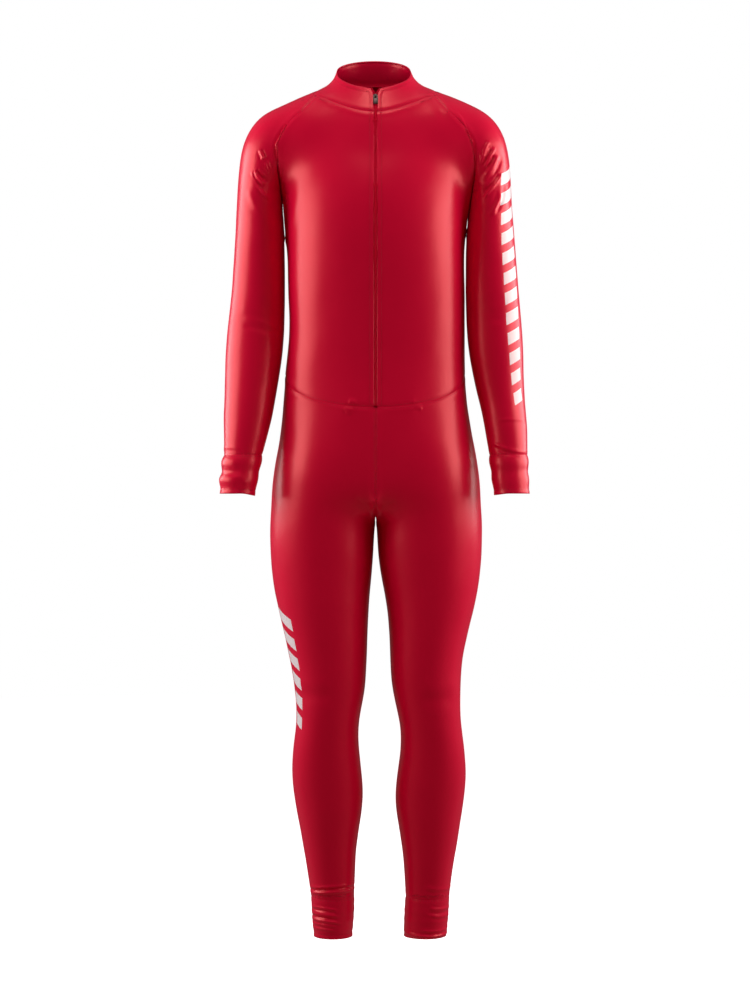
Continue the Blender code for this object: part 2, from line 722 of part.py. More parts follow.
def trimmed(rows, closed):
    """A panel's points, moved in from its seams. From the closed row on, the panel is a tube."""
    points = rows.copy()
    points[0] += step_in(rows[0], rows[1])
    points[-1] += step_in(rows[-1], rows[-2])
    if closed != 0:
        edge = slice(0, closed if closed is None else closed + 1)
        points[edge, 0] += step_in(rows[edge, 0], rows[edge, 1])
        points[edge, -1] += step_in(rows[edge, -1], rows[edge, -2])
    if closed:
        fork = rows[closed, 0] + step_in(rows[closed, :2], rows[closed + 1, :2])[0]
        points[closed, 0] = points[closed, -1] = fork
    if closed is not None:
        points[closed:, -1] = points[closed:, 0]
    return points


def folded(rows, normals, rings):
    """A panel's points, moved out by its ridges and in by its troughs."""
    lift = np.zeros(rows.shape[:-1])
    for table, way in ((FRONT_FOLDS, FRONTWARD), (BACK_FOLDS, BACKWARD)):
        facing = fade(normals @ way, 0.0, FOLD_FACING)
        for fold in table:
            run = np.array((fold.x_end - fold.x, fold.z_end - fold.z))
            flat = rows[..., (0, 2)] - (fold.x, fold.z)
            share = np.clip(flat @ run / (run @ run), 0, 1)
            off = np.linalg.norm(flat - share[..., None] * run, axis=-1)
            lift += fold.height * facing * np.exp(-((off / fold.width) ** 2))
    for fold in rings:
        lift += fold.height * np.exp(-(((rows[..., 2] - fold.z) / fold.width) ** 2))
    return rows + lift[..., None] * normals


def wall(name, rows, material, closed=None, rings=()):
    """A solid of cloth with rows of points on its outer face."""
    normals = normals_at(rows)
    outer = trimmed(folded(rows, normals, rings), closed)
    inner = outer - WALL * normals
    mesh = bmesh.new()
    height, width = len(rows) - 1, len(rows[0]) - 1

    def vertices(points):
        grid = []
        for r, row in enumerate(points):
            line = [mesh.verts.new(p * MM) for p in row[:-1]]
            tube_row = closed is not None and r >= closed
            line.append(line[0] if tube_row else mesh.verts.new(row[-1] * MM))
            grid.append(line)
        return grid

    faces = [vertices(outer), vertices(inner)]
    for side, grid in enumerate(faces):
        for r in range(height):
            for c in range(width):
                corners = (grid[r][c], grid[r][c + 1], grid[r + 1][c + 1], grid[r + 1][c])
                mesh.faces.new(corners if side else corners[::-1])
    edges = [((0, c), (0, c + 1)) for c in range(width)]
    edges += [((height, c + 1), (height, c)) for c in range(width)]
    for r in range(height if closed is None else closed):
        edges += [((r + 1, 0), (r, 0)), ((r, width), (r + 1, width))]
    for (r, c), (r2, c2) in edges:
        mesh.faces.new([faces[k][i][j] for k, i, j in ((0, r, c), (0, r2, c2), (1, r2, c2), (1, r, c))])
    return finished(name, mesh, material)


def finished(name, mesh, material):
    """A named object from a mesh, with its faces turned out."""
    bmesh.ops.recalc_face_normals(mesh, faces=mesh.faces)
    data = bpy.data.meshes.new(name)
    mesh.to_mesh(data)
    mesh.free()
    data.shade_smooth()
    data.set_sharp_from_angle(angle=np.radians(50))
    data.materials.append(material)
    item = bpy.data.objects.new(name, data)
    bpy.data.collections[COLLECTION].objects.link(item)
    return item


def zip_half(name, rows, outward, material):
    """One side of the zip: its tape inside the cloth, and its half of the coil in the slit."""
    gap = SEAM_GAP / 2
    front = WALL + TAPE_GAP
    back = front + TAPE_THICKNESS
    coil = gap + COIL_WIDTH
    profile = (
        (gap, back),
        (TAPE_WIDTH, back),
        (TAPE_WIDTH, front),
        (coil, front),
        (coil, -COIL_PROUD),
        (gap, -COIL_PROUD),
    )
    edge, beside = rows[:, 0], rows[:, 1]
    edge_out, beside_out = normals_at(edge), normals_at(beside)
    step = ((beside - edge) @ outward)[:, None]
    sections = []
    for aside, depth in profile:
        share = (aside - ZIP_SLIT) / step
        out = edge_out + (beside_out - edge_out) * share
        sections.append(edge + (beside - edge) * share - depth * out)
    rings = np.swapaxes(sections, 0, 1)
    mesh = bmesh.new()
    grid = [[mesh.verts.new(p * MM) for p in ring] for ring in rings]
    for upper, lower in zip(grid, grid[1:]):
        for k in range(len(profile)):
            mesh.faces.new((upper[k - 1], upper[k], lower[k], lower[k - 1]))
    mesh.faces.new(grid[0])
    mesh.faces.new(grid[-1])
    return finished(name, mesh, material)


def block(name, size, centre, material, round_edge=0.0, cutter=False):
    """A box in millimetres, in its parent's frame."""
    mesh = bmesh.new()
    bmesh.ops.create_cube(mesh, size=1)
    bmesh.ops.scale(mesh, vec=[v * MM for v in size], verts=mesh.verts)
    bmesh.ops.translate(mesh, vec=[v * MM for v in centre], verts=mesh.verts)
    data = bpy.data.meshes.new(name)
    mesh.to_mesh(data)
    mesh.free()
    data.materials.append(material)
    item = bpy.data.objects.new(name, data)
    bpy.data.collections["cutters" if cutter else COLLECTION].objects.link(item)
    if cutter:
        item.hide_render = True
        item.display_type = "WIRE"
    if round_edge:
        bevel = item.modifiers.new("soft edges", "BEVEL")
        bevel.width = round_edge * MM
        bevel.segments = 2
    return item


def combine(item, other, operation):
    """A join or a cut of one object by another, kept as a modifier."""
    change = item.modifiers.new(operation.lower(), "BOOLEAN")
    change.operation = operation
    change.object = other


def slider_and_tab(metal, suit_parent):
    """The slider on the coil, with a bridge on its front, and the tab that hangs from the bridge."""
    seat = centre_front([SLIDER_HEIGHT], 0.0)
    out = normals_at(seat)[0]
    up = np.cross(out, LEFTWARD)
    mount = bpy.data.objects.new("zip_slider_seat", None)
    bpy.data.collections[COLLECTION].objects.link(mount)
    turn = Matrix((LEFTWARD, -out, up)).transposed()
    mount.matrix_world = Matrix.LocRotScale(seat[0] * MM, turn, None)
    mount.parent = suit_parent
    plate_back = COIL_PROUD + SEAM_GAP
    plate_front = plate_back + SLIDER_THICKNESS
    arch_depth = BRIDGE_HEIGHT - BRIDGE_WALL
    slider = block("zip_slider", (SLIDER_WIDTH, SLIDER_THICKNESS, SLIDER_LENGTH),
                   (0, -(plate_back + plate_front) / 2, 0), metal, round_edge=0.5)
    bridge = block("bridge", (BRIDGE_WIDTH, BRIDGE_HEIGHT + BRIDGE_ROOT, BRIDGE_LENGTH),
                   (0, -(plate_front + (BRIDGE_HEIGHT - BRIDGE_ROOT) / 2), 0), metal, 0.3, cutter=True)
    opening = block("bridge_opening", (2 * BRIDGE_WIDTH, arch_depth, BRIDGE_LENGTH - 2 * BRIDGE_WALL),
                    (0, -(plate_front + arch_depth / 2), 0), metal, cutter=True)
    combine(slider, bridge, "UNION")
    combine(slider, opening, "DIFFERENCE")
    tab = block("zip_pull_tab", (TAB_WIDTH, TAB_THICKNESS, TAB_LENGTH),
                (0, 0, (TAB_BAR - TAB_LENGTH) / 2), metal, round_edge=0.35)
    slot = block("tab_slot", (TAB_SLOT_WIDTH, 3 * TAB_THICKNESS, TAB_SLOT_LENGTH),
                 (0, 0, -(TAB_BAR + TAB_SLOT_LENGTH) / 2), metal, cutter=True)
    combine(tab, slot, "DIFFERENCE")
    tab.location = (0, -(plate_front + arch_depth / 2) * MM, 0)
    tab.rotation_euler = (np.radians(TAB_LEAN), 0, 0)
    for item in (slider, bridge, opening, tab):
        item.parent = mount
    slot.parent = tab


def finish(name, colour, roughness, metallic=0.0):
    """A material from an sRGB colour."""
    red, green, blue = (int(colour[k:k + 2], 16) / 255 for k in (1, 3, 5))
    linear = [c / 12.92 if c <= 0.04045 else ((c + 0.055) / 1.055) ** 2.4 for c in (red, green, blue)]
    material = bpy.data.materials.new(name)
    material.use_nodes = True
    shader = material.node_tree.nodes["Principled BSDF"]
    shader.inputs["Base Color"].default_value = (*linear, 1)
    shader.inputs["Roughness"].default_value = roughness
    shader.inputs["Metallic"].default_value = metallic
    return material


def build():
    """Makes every solid, in millimetres scaled to metres, under one carrier."""
    for item in list(bpy.data.objects):
        bpy.data.objects.remove(item, do_unlink=True)
    for name in (COLLECTION, "cutters"):
        bpy.context.scene.collection.children.link(bpy.data.collections.new(name))
    cloth = finish("red stretch cloth", "#A30C24", 0.38)
    tape = finish("red zip tape", "#8A0F22", 0.7)
    metal = finish("dark zip metal", "#4A423E", 0.4, metallic=0.9)

    suits = (Suit(-1), Suit(1))
    crotch = crotch_point()
    right = suits[0]
    seam_front = seat_seam(right.waist_front[0], crotch, FRONTWARD)
    seam_back = seat_seam(right.waist_back[-1], crotch, BACKWARD)
    pieces = []
    fronts = []
    backs = []
    for suit, hand in zip(suits, ("right", "left")):
        arm, leg = (ARM_RIGHT, LEG_RIGHT) if suit.side < 0 else (ARM_LEFT, LEG_LEFT)
        fronts.append(relaxed(suit.upper_front(), None))
        backs.append(suit.half_back())
        pieces.append(wall(f"front_{hand}", fronts[-1], cloth))
        sleeve = relaxed(suit.sleeve(), RAGLAN_ROWS)
        pieces.append(wall(f"sleeve_{hand}", sleeve, cloth, RAGLAN_ROWS, SLEEVE_RINGS))
        cuff = suit.band(arm, CUFF_SEAM, CUFF_END, CUFF_ROWS, SLEEVE_SEGMENTS)
        pieces.append(wall(f"cuff_{hand}", cuff, cloth, 0, CUFF_RINGS))
        trouser = relaxed(suit.leg(crotch, seam_front, seam_back), HIP_ROWS)
        pieces.append(wall(f"leg_{hand}", trouser, cloth, HIP_ROWS, LEG_RINGS))
        ankle = suit.band(leg, ANKLE_SEAM, ANKLE_END, ANKLE_ROWS, LEG_SEGMENTS)
        pieces.append(wall(f"ankle_band_{hand}", ankle, cloth, 0, ANKLE_RINGS))
    back = np.concatenate([backs[0], backs[1][:, -2::-1]], axis=1)
    pieces.append(wall("back", relaxed(back, None), cloth))
    collar = collar_rows(suits)
    pieces.append(wall("collar", collar, cloth))

    for suit, hand, front in zip(suits, ("right", "left"), fronts):
        stand = collar[::-1, :2] if suit.side < 0 else collar[::-1, -1:-3:-1]
        edge_rows = np.concatenate([stand, front[1:, :2]])
        edge_rows[-1] += (edge_rows[-2] - edge_rows[-1]) * ZIP_END_SHARE
        pieces.append(zip_half(f"zip_{hand}", edge_rows, suit.outward, tape))

    carrier = bpy.data.objects.new("suit_on_shoulders", None)
    bpy.data.collections[COLLECTION].objects.link(carrier)
    for piece in pieces:
        piece.parent = carrier
    slider_and_tab(metal, carrier)


build()
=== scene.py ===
"""A one-piece race suit in red stretch knit, worn by nobody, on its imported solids."""

from collections import namedtuple

import bmesh
import bpy
import numpy as np
from mathutils import Matrix, Vector, kdtree, noise


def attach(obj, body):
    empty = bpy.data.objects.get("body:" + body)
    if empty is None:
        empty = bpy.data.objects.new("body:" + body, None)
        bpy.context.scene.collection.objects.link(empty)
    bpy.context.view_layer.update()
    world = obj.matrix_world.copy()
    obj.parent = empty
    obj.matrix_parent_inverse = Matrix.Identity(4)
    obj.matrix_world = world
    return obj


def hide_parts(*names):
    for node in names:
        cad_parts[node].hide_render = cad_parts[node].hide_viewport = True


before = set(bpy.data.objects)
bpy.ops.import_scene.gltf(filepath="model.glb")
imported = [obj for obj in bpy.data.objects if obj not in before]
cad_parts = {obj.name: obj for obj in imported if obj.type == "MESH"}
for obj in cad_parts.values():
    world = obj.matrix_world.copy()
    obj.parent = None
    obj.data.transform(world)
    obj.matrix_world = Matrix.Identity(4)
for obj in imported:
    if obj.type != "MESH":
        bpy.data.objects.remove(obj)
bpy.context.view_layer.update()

bl_info = {
    "name": "Race suit",
    "version": (1, 0, 0),
    "blender": (4, 5, 0),
    "location": "View3D > Sidebar > Race suit",
    "description": "Dresses the packed solids of a one-piece race suit in knit, thread and zip",
    "category": "Object",
}

MM = 0.001
BODY = "suit"
# Faces with a shorter side than this are the narrow edges of a solid's wall.
RIM = 0.0018
# Rim points of two pieces that are this near each other are sewn together.
SEWN_WITHIN = 0.0016
# Points of a solid that are this near each other are one.
WELD = 2e-5
# A rim that turns by more than this many degrees has a corner there.
CORNER_TURN = 28
# How often the faces along a crease are parted, and how long their sides may be for each unit of its width.
REFINEMENTS = 2
CREASE_SAMPLING = 0.8
# The faces parted lie within this many widths of a crease's middle, where it shows by more than this share.
CREASE_REACH = 1.9
CREASE_SHOWN = 0.05
# A ridge has a shallow trough beside it, and a trough a low ridge: its height as a share, and how many
# widths away it is
CREASE_ECHO = 0.35
ECHO_AWAY = 2
# How far the cloth faces the side of a table's creases where they start to show, and where they show in full
FACING = (-0.3, 0.25)
# Creases show in full where their arch, which is 0 at the ends and 1 at the middle, is over this.
CREASE_END = 0.75
# The broad soft waves of the cloth and finer ones over them: how many to a metre, and the finer ones' share
WAVES = 11
FINE_WAVES = 27
FINE_WAVE_SHARE = 0.5
# Creases die out within this distance of a seam.
SEAM_CALM = 0.006
# Beside a seam's groove the cloth swells: the swell's height as a share of the groove's depth, and how many
# groove widths away it is
SWELL = 0.4
SWELL_AWAY = 1.9
# A hem's fold starts to sink at this share of its width. Its stitched line is this deep, as a share of how
# proud the fold is, and this wide.
HEM_EDGE = 0.6
HEM_LINE = 0.6
HEM_LINE_WIDTH = 0.0009
# A hem's dip fades out over this height, and aside between these shares of the hem's width
DIP_HEIGHT = 0.022
DIP_ASIDE = (0.05, 0.5)
# A limb's middle line is fitted to slices this far apart in millimetres, by a curve of this degree.
SLICE = 20
LINE_DEGREE = 3
# Stitches aren't sewn over a gap wider than this, or along an edge shorter than this.
STITCH_GAP = 0.02
NO_LENGTH = 1e-6
# Rows of points down a zip half are further apart than this.
ROW_GAP = 0.0012
# A row's points within this many millimetres of its inner edge belong to the edge.
EDGE_DEPTH = 0.3
# A turn of the coil: its depth as a share of its width, its height as a share of the pitch
TOOTH_DEPTH = 0.32
TOOTH_HEIGHT = 0.45
# How far aside the camera stands, in metres, and how tall its sensor is, in millimetres
VIEW_ASIDE = -0.00085
SENSOR = 36
FLOOR_HEIGHT = -1.52
FLOOR_RADIUS = 6
# The smooth sheet of each node, with a tree of all their rims under "rims", and the stitch lines of each node
SHEETS = {}
LINES = {}
FRONTWARD = Vector((0, -1, 0))
BACKWARD = Vector((0, 1, 0))

# Each piece: the width and length of its cut without allowances, before it's stretched, in metres, and the
# cut's area in square metres
Cut = namedtuple("Cut", "width length area")
CUTS = {
    "front_right": Cut(0.23, 0.50, 0.0885),
    "front_left": Cut(0.23, 0.50, 0.0885),
    "back": Cut(0.41, 0.54, 0.167),
    "sleeve_right": Cut(0.37, 0.65, 0.162),
    "sleeve_left": Cut(0.37, 0.65, 0.163),
    "collar": Cut(0.385, 0.058, 0.0195),
    "cuff_right": Cut(0.188, 0.066, 0.0122),
    "cuff_left": Cut(0.188, 0.066, 0.0122),
    "leg_right": Cut(0.50, 0.93, 0.3425),
    "leg_left": Cut(0.50, 0.93, 0.3425),
    "ankle_band_right": Cut(0.225, 0.069, 0.0153),
    "ankle_band_left": Cut(0.225, 0.069, 0.0153),
}

# Creases, in millimetres. Each runs from one end to the other, bowed aside at its middle. A positive height
# is a ridge and a negative one a trough.
Crease = namedtuple("Crease", "x z x_end z_end bow width height")
FRONT_CREASES = (
    # Right armpit, on the sleeve
    Crease(-195, -107, -188, -125, 1, 2.2, 1.7),
    Crease(-191, -107, -184, -122, 1, 2.4, -1.6),
    Crease(-199.5, -139, -179, -161, -2, 2.6, -1.8),
    Crease(-202.5, -141, -185, -166, -2, 2.4, 2.2),
    Crease(-206, -145, -189, -173, -2.5, 2.6, -2.0),
    Crease(-209, -140, -177, -192, -3, 2.4, 2.2),
    Crease(-196, -138, -185, -152, -0.5, 1.6, 0.9),
    Crease(-189, -133, -179, -149, -0.5, 1.6, 0.9),
    Crease(-185.5, -128, -177, -145, -0.5, 1.8, 1.0),
    Crease(-180, -125, -175, -141, 0, 1.8, 1.1),
    Crease(-214, -168, -190, -214, -4, 5.0, 1.0),
    # Right armpit, on the front panel
    Crease(-164, -129, -157, -149, 1, 2.2, 1.6),
    Crease(-161, -162, -155, -179, 1, 2.2, 1.6),
    Crease(-154, -177, -150, -195, 1, 2.2, 1.2),
    Crease(-134, -192, -146, -246, 3, 6.0, 0.9),
    # Left armpit, on the sleeve
    Crease(191.5, -92, 179, -125, -2.7, 2.4, 1.8),
    Crease(194, -104, 180, -136, 0, 2.8, -1.8),
    Crease(200.5, -102, 181, -137, 0.5, 2.4, 1.8),
    Crease(199, -115, 184, -141, 0, 2.6, -1.6),
    Crease(204.5, -114, 180, -154, 3, 3.0, 2.0),
    Crease(212, -115, 183, -163, 6, 3.2, -2.6),
    Crease(215, -142, 180, -190, 1, 2.4, 2.0),
    Crease(208, -145, 178, -179, 2, 3.5, -1.6),
    Crease(212, -177, 193, -219, 2, 4.0, 2.0),
    Crease(216.5, -160, 200, -214, 5, 3.4, -2.4),
    Crease(175, -109, 178, -129, 0, 2.0, 1.2),
    # Left armpit, on the front panel
    Crease(168, -157, 165, -174, 0, 2.2, 1.4),
    Crease(163, -177, 160, -192, 0, 2.4, 1.2),
    # Elbows
    Crease(-226, -388, -158, -408, 4, 5.0, 0.9),
    Crease(-224, -402, -166, -416, 3, 4.5, -0.8),
    Crease(-230, -372, -184, -380, 3, 6.0, 0.8),
    Crease(178, -372, 240, -360, -4, 6.0, 0.8),
    Crease(184, -392, 246, -384, -4, 5.0, -0.7),
    # Puckers at the waist seam
    Crease(-53, -540, -36, -544, -1, 3.4, 1.2),
    Crease(-50, -547, -38, -550, -1, 3.0, 1.0),
    Crease(-46, -531, -30, -535, 2, 4.5, 1.5),
    Crease(60, -531, 76, -534, -1, 3.4, 1.2),
    Crease(64, -540, 78, -543, 1, 3.2, 0.8),
    # Above the wrist cuffs
    Crease(196, -596, 222, -609, -2, 2.8, 1.8),
    Crease(218, -608, 256, -614, -2, 2.8, 1.6),
    Crease(198, -604, 240, -619, -2, 2.6, -1.1),
    Crease(202, -561, 254, -561, 2, 2.6, 0.7),
    Crease(-262, -606, -222, -610, 2, 3.0, 0.8),
    # On the wrist cuffs
    Crease(-272, -630, -226, -634, 2, 8.0, 1.5),
    Crease(-272, -646, -222, -644, -2, 5.0, -0.9),
    Crease(-272, -661, -226, -664, 2, 8.0, 1.5),
    Crease(-232, -652, -214, -668, 2, 4.0, 0.9),
    Crease(202, -634, 256, -636, 2, 9.0, 0.5),
    Crease(206, -656, 254, -660, -2, 9.0, -0.5),
    # Knees
    Crease(-138, -1004, -70, -1010, 5, 12.0, 0.9),
    Crease(-134, -1026, -66, -1020, 4, 10.0, -0.8),
    Crease(74, -1006, 140, -1002, -5, 12.0, 0.9),
    Crease(70, -1024, 134, -1022, -4, 10.0, -0.8),
    # Right ankle
    Crease(-118, -1351, -30, -1345, 2, 2.6, 1.4),
    Crease(-118, -1356, -28, -1350, 3, 2.2, -1.9),
    Crease(-116, -1361, -32, -1355, 2, 2.6, 1.4),
    Crease(-112, -1383, -62, -1387, 2, 2.2, 1.2),
    Crease(-112, -1388, -66, -1391, 2, 2.0, -1.1),
    Crease(-112, -1395, -58, -1398, 2, 2.2, 1.3),
    Crease(-112, -1400, -64, -1403, 2, 2.0, -1.2),
    Crease(-112, -1405, -56, -1409, 2, 2.0, 1.2),
    Crease(-112, -1412, -64, -1415, 2, 2.0, 1.0),
    Crease(-112, -1419, -66, -1421, 1, 2.0, 0.9),
    # Left ankle
    Crease(82, -1347, 134, -1352, -2, 3.0, 1.0),
    Crease(88, -1382, 132, -1384, -2, 2.4, 1.0),
    Crease(84, -1389, 130, -1391, -2, 2.4, -0.9),
    Crease(92, -1396, 130, -1399, -1, 2.4, 0.8),
    Crease(74, -1420, 126, -1421, -2, 2.4, 1.2),
    Crease(40, -1424, 134, -1426, -6, 3.4, 2.6),
    Crease(50, -1434, 128, -1432, -5, 3.0, -1.2),
    # Crotch
    Crease(-3, -706, -34, -690, 3, 4.5, -1.3),
    Crease(5, -708, 36, -694, -3, 4.5, -1.2),
    Crease(-8, -718, -44, -712, 3, 5.0, 1.1),
    Crease(9, -720, 46, -718, -3, 5.0, 1.0),
)
BACK_CREASES = (
    # Armpits
    Crease(-206, -130, -174, -176, 4, 3.6, 1.9),
    Crease(-212, -148, -182, -196, 4, 3.6, 1.6),
    Crease(-198, -118, -172, -158, 3, 3.2, 1.4),
    Crease(-158, -150, -140, -204, -4, 6.0, 1.5),
    Crease(-218, -182, -190, -246, -6, 5.5, 1.8),
    Crease(204, -124, 176, -168, -4, 3.6, 1.8),
    Crease(213, -144, 184, -190, -4, 3.6, 1.8),
    Crease(196, -112, 174, -148, -3, 3.2, 1.3),
    Crease(160, -146, 143, -196, 4, 6.0, 1.4),
    Crease(216, -186, 188, -250, 6, 5.5, 1.6),
    # Small of the back
    Crease(-92, -428, -20, -440, 6, 11.0, 1.5),
    Crease(-84, -452, -8, -460, 5, 9.0, -1.2),
    Crease(12, -436, 96, -426, -6, 11.0, 1.4),
    Crease(4, -462, 80, -452, -5, 9.0, -1.1),
    Crease(-70, -478, 44, -482, 4, 8.0, 1.0),
    # Elbows
    Crease(-236, -352, -172, -364, 5, 7.0, 1.2),
    Crease(-234, -376, -176, -380, 4, 6.0, -1.0),
    Crease(-232, -396, -168, -398, 4, 7.0, 1.1),
    Crease(184, -350, 240, -346, -5, 7.0, 1.2),
    Crease(186, -374, 244, -370, -4, 6.0, -1.0),
    Crease(180, -392, 244, -390, -4, 7.0, 1.1),
    # Under the seat
    Crease(-120, -716, -28, -730, 7, 9.0, 1.5),
    Crease(-112, -742, -36, -748, 5, 8.0, -1.1),
    Crease(30, -732, 122, -716, -7, 9.0, 1.4),
    Crease(36, -750, 110, -744, -5, 8.0, -1.0),
    # Behind the knees
    Crease(-132, -996, -72, -1004, 5, 7.0, 1.5),
    Crease(-134, -1014, -70, -1016, 4, 6.0, -1.3),
    Crease(-132, -1034, -66, -1030, 5, 7.0, 1.4),
    Crease(74, -1002, 134, -994, -5, 7.0, 1.5),
    Crease(72, -1016, 134, -1012, -4, 6.0, -1.3),
    Crease(68, -1030, 130, -1034, -5, 7.0, 1.3),
    # Ankles and wrists
    Crease(-110, -1358, -40, -1364, 3, 3.0, 1.4),
    Crease(-108, -1368, -44, -1371, 2, 2.6, -1.2),
    Crease(-98, -1388, -40, -1384, 2, 2.6, 1.2),
    Crease(-96, -1398, -42, -1396, 2, 2.4, -1.0),
    Crease(-100, -1407, -38, -1405, 2, 2.6, 1.1),
    Crease(-92, -1418, -42, -1419, 2, 2.4, 0.9),
    Crease(66, -1366, 126, -1360, -3, 3.0, 1.3),
    Crease(70, -1390, 122, -1386, -2, 2.6, 1.1),
    Crease(66, -1402, 118, -1401, -2, 2.6, -1.0),
    Crease(72, -1413, 122, -1411, -2, 2.6, 1.0),
    Crease(-262, -612, -214, -606, 2, 3.0, 1.3),
    Crease(-262, -640, -218, -636, 2, 5.0, 1.2),
    Crease(-260, -656, -220, -654, 2, 5.0, -1.0),
    Crease(206, -606, 254, -610, 2, 3.0, 1.3),
    Crease(208, -640, 254, -644, 2, 6.0, 1.0),
)

# At the seams of these pieces the cloth hardly dips.
SMOOTH_SEAMS = ("cuff_right", "cuff_left", "ankle_band_right", "ankle_band_left")
# Pieces whose solids have rows close enough for one subdivision level less
SMALL_PIECES = ("collar",) + SMOOTH_SEAMS

# Hems that hang lower at one end: the hem's piece, the end's side, and how far down it hangs, in millimetres
Dip = namedtuple("Dip", "node side depth")
DIPS = (
    Dip("cuff_right", 1, 5.0),
    Dip("cuff_left", -1, 3.0),
)

# Where the white film is pressed on: a limb's node, the middle of the strip round the limb in degrees from
# the front to the outer side, the strip's top and bottom height, and its width, in millimetres
Strip = namedtuple("Strip", "node angle top bottom width")
STRIPS = (
    Strip("sleeve_left", 42, -136, -545, 44),
    Strip("leg_right", 62, -884, -1092, 44),
)
# The bars of the film: from bar to bar in millimetres, the share of that which is film, their slant, and the
# part of their length that they lose down the strip
BAR_PITCH = 34.0
BAR_SHARE = 0.6
BAR_SLANT = 0.45
BAR_TAPER = 0.55


class ClothSettings(bpy.types.PropertyGroup):
    """Sizes and colours of the knit."""

    wall: bpy.props.FloatProperty(
        name="Cloth", description="Thickness of the shown cloth", default=0.0007, unit="LENGTH"
    )
    level: bpy.props.IntProperty(
        name="Smoothing", description="Subdivision level of the cloth", default=3, min=1, max=4
    )
    groove: bpy.props.FloatProperty(
        name="Seam groove", description="How deep the cloth dips at a seam", default=0.001, unit="LENGTH"
    )
    smooth_groove: bpy.props.FloatProperty(
        name="Smooth seam groove", description="The same at the wrists and ankles",
        default=0.0002, unit="LENGTH",
    )
    groove_width: bpy.props.FloatProperty(
        name="Groove width", description="How far from the seam the dip reaches",
        default=0.0034, unit="LENGTH",
    )
    hem: bpy.props.FloatProperty(
        name="Hem", description="How proud the folded edge of a hem stands", default=0.0004, unit="LENGTH"
    )
    hem_width: bpy.props.FloatProperty(
        name="Hem width", description="From a hem's edge to its stitches", default=0.0075, unit="LENGTH"
    )
    meet: bpy.props.FloatProperty(
        name="Meeting", description="How far a sewn rim is drawn out to meet its neighbour",
        default=0.00017, unit="LENGTH",
    )
    tuck_depth: bpy.props.FloatProperty(
        name="Allowance depth", description="How far behind the cloth the seam allowance lies",
        default=0.0011, unit="LENGTH",
    )
    tuck_width: bpy.props.FloatProperty(
        name="Allowance width", description="Width of the seam allowance", default=0.003, unit="LENGTH"
    )
    unevenness: bpy.props.FloatProperty(
        name="Unevenness", description="Height of the broad soft waves of the cloth",
        default=0.0007, unit="LENGTH",
    )
    red: bpy.props.StringProperty(name="Red", description="Colour of the knit", default="#F00440")
    # The deep red is painted shade: the knit is mixed toward it in the hollows between its loops.
    shadow_red: bpy.props.StringProperty(
        name="Deep red", description="Colour between its loops", default="#DC043A"
    )
    white: bpy.props.StringProperty(
        name="White", description="Colour of the pressed film", default="#F0FAF8"
    )


class SewingSettings(bpy.types.PropertyGroup):
    """Sizes of the sewing."""

    stitch: bpy.props.FloatProperty(
        name="Stitch", description="Length of a stitch", default=0.0034, unit="LENGTH"
    )
    pitch: bpy.props.FloatProperty(
        name="Pitch", description="From stitch to stitch", default=0.0048, unit="LENGTH"
    )
    thread: bpy.props.FloatProperty(
        name="Thread", description="Thickness of the thread", default=0.0005, unit="LENGTH"
    )
    margin: bpy.props.FloatProperty(
        name="Margin", description="From a seam to its stitches", default=0.0026, unit="LENGTH"
    )
    hem_margin: bpy.props.FloatProperty(
        name="Hem margin", description="From a hem to its stitches", default=0.0075, unit="LENGTH"
    )
    colour: bpy.props.StringProperty(name="Colour", description="Colour of the thread", default="#9E0B20")


class ZipSettings(bpy.types.PropertyGroup):
    """Sizes and colours of the zip."""

    tooth_pitch: bpy.props.FloatProperty(
        name="Tooth pitch", description="From tooth to tooth", default=0.0016, unit="LENGTH"
    )
    tooth: bpy.props.FloatProperty(
        name="Tooth", description="Width of a tooth", default=0.0022, unit="LENGTH"
    )
    tape: bpy.props.StringProperty(name="Tape", description="Colour of the woven tape", default="#DC0430")
    teeth: bpy.props.StringProperty(
        name="Teeth", description="Colour of the moulded coil", default="#E00432"
    )
    metal: bpy.props.StringProperty(
        name="Metal", description="Colour of the slider and its tab", default="#4E423E"
    )


class StageSettings(bpy.types.PropertyGroup):
    """Camera, floor and light."""

    distance: bpy.props.FloatProperty(
        name="Distance", description="From the camera to the suit", default=4.0, unit="LENGTH"
    )
    height: bpy.props.FloatProperty(
        name="Height", description="Height of the camera", default=-0.6936, unit="LENGTH"
    )
    frame_height: bpy.props.FloatProperty(
        name="Frame", description="Height that the picture takes in at the suit",
        default=1.70, unit="LENGTH",
    )
    side_light: bpy.props.FloatProperty(
        name="Side light", description="Power of each side box in watts", default=33
    )
    top_light: bpy.props.FloatProperty(
        name="Top light", description="Power of the box above in watts", default=3
    )
    neck_light: bpy.props.FloatProperty(
        name="Neck light", description="Power of the box over the neck in watts", default=1.1
    )
    fill: bpy.props.FloatProperty(
        name="Fill", description="Strength of the room's light from the sides", default=0.36
    )
    dim: bpy.props.FloatProperty(
        name="Dim", description="Strength of the room's light from before and behind", default=0.15
    )
    room: bpy.props.StringProperty(name="Room", description="Colour of the room's light", default="#FFB4BC")
    paper: bpy.props.StringProperty(
        name="Paper", description="Colour of the floor and backdrop", default="#FFFFFF"
    )


def linear(colour):
    """An sRGB hex colour as linear light."""
    parts = [int(colour[k : k + 2], 16) / 255 for k in (1, 3, 5)]
    return (*[p / 12.92 if p <= 0.04045 else ((p + 0.055) / 1.055) ** 2.4 for p in parts], 1.0)


def add_node(tree, kind, links=(), **settings):
    """A shader node with its settings, its sockets by name, and links from other nodes' sockets."""
    node = tree.nodes.new(kind)
    for name, value in settings.items():
        if hasattr(node, name):
            setattr(node, name, value)
        else:
            node.inputs[name.replace("_", " ")].default_value = value
    for socket, source in links:
        tree.links.new(source, node.inputs[socket])
    return node


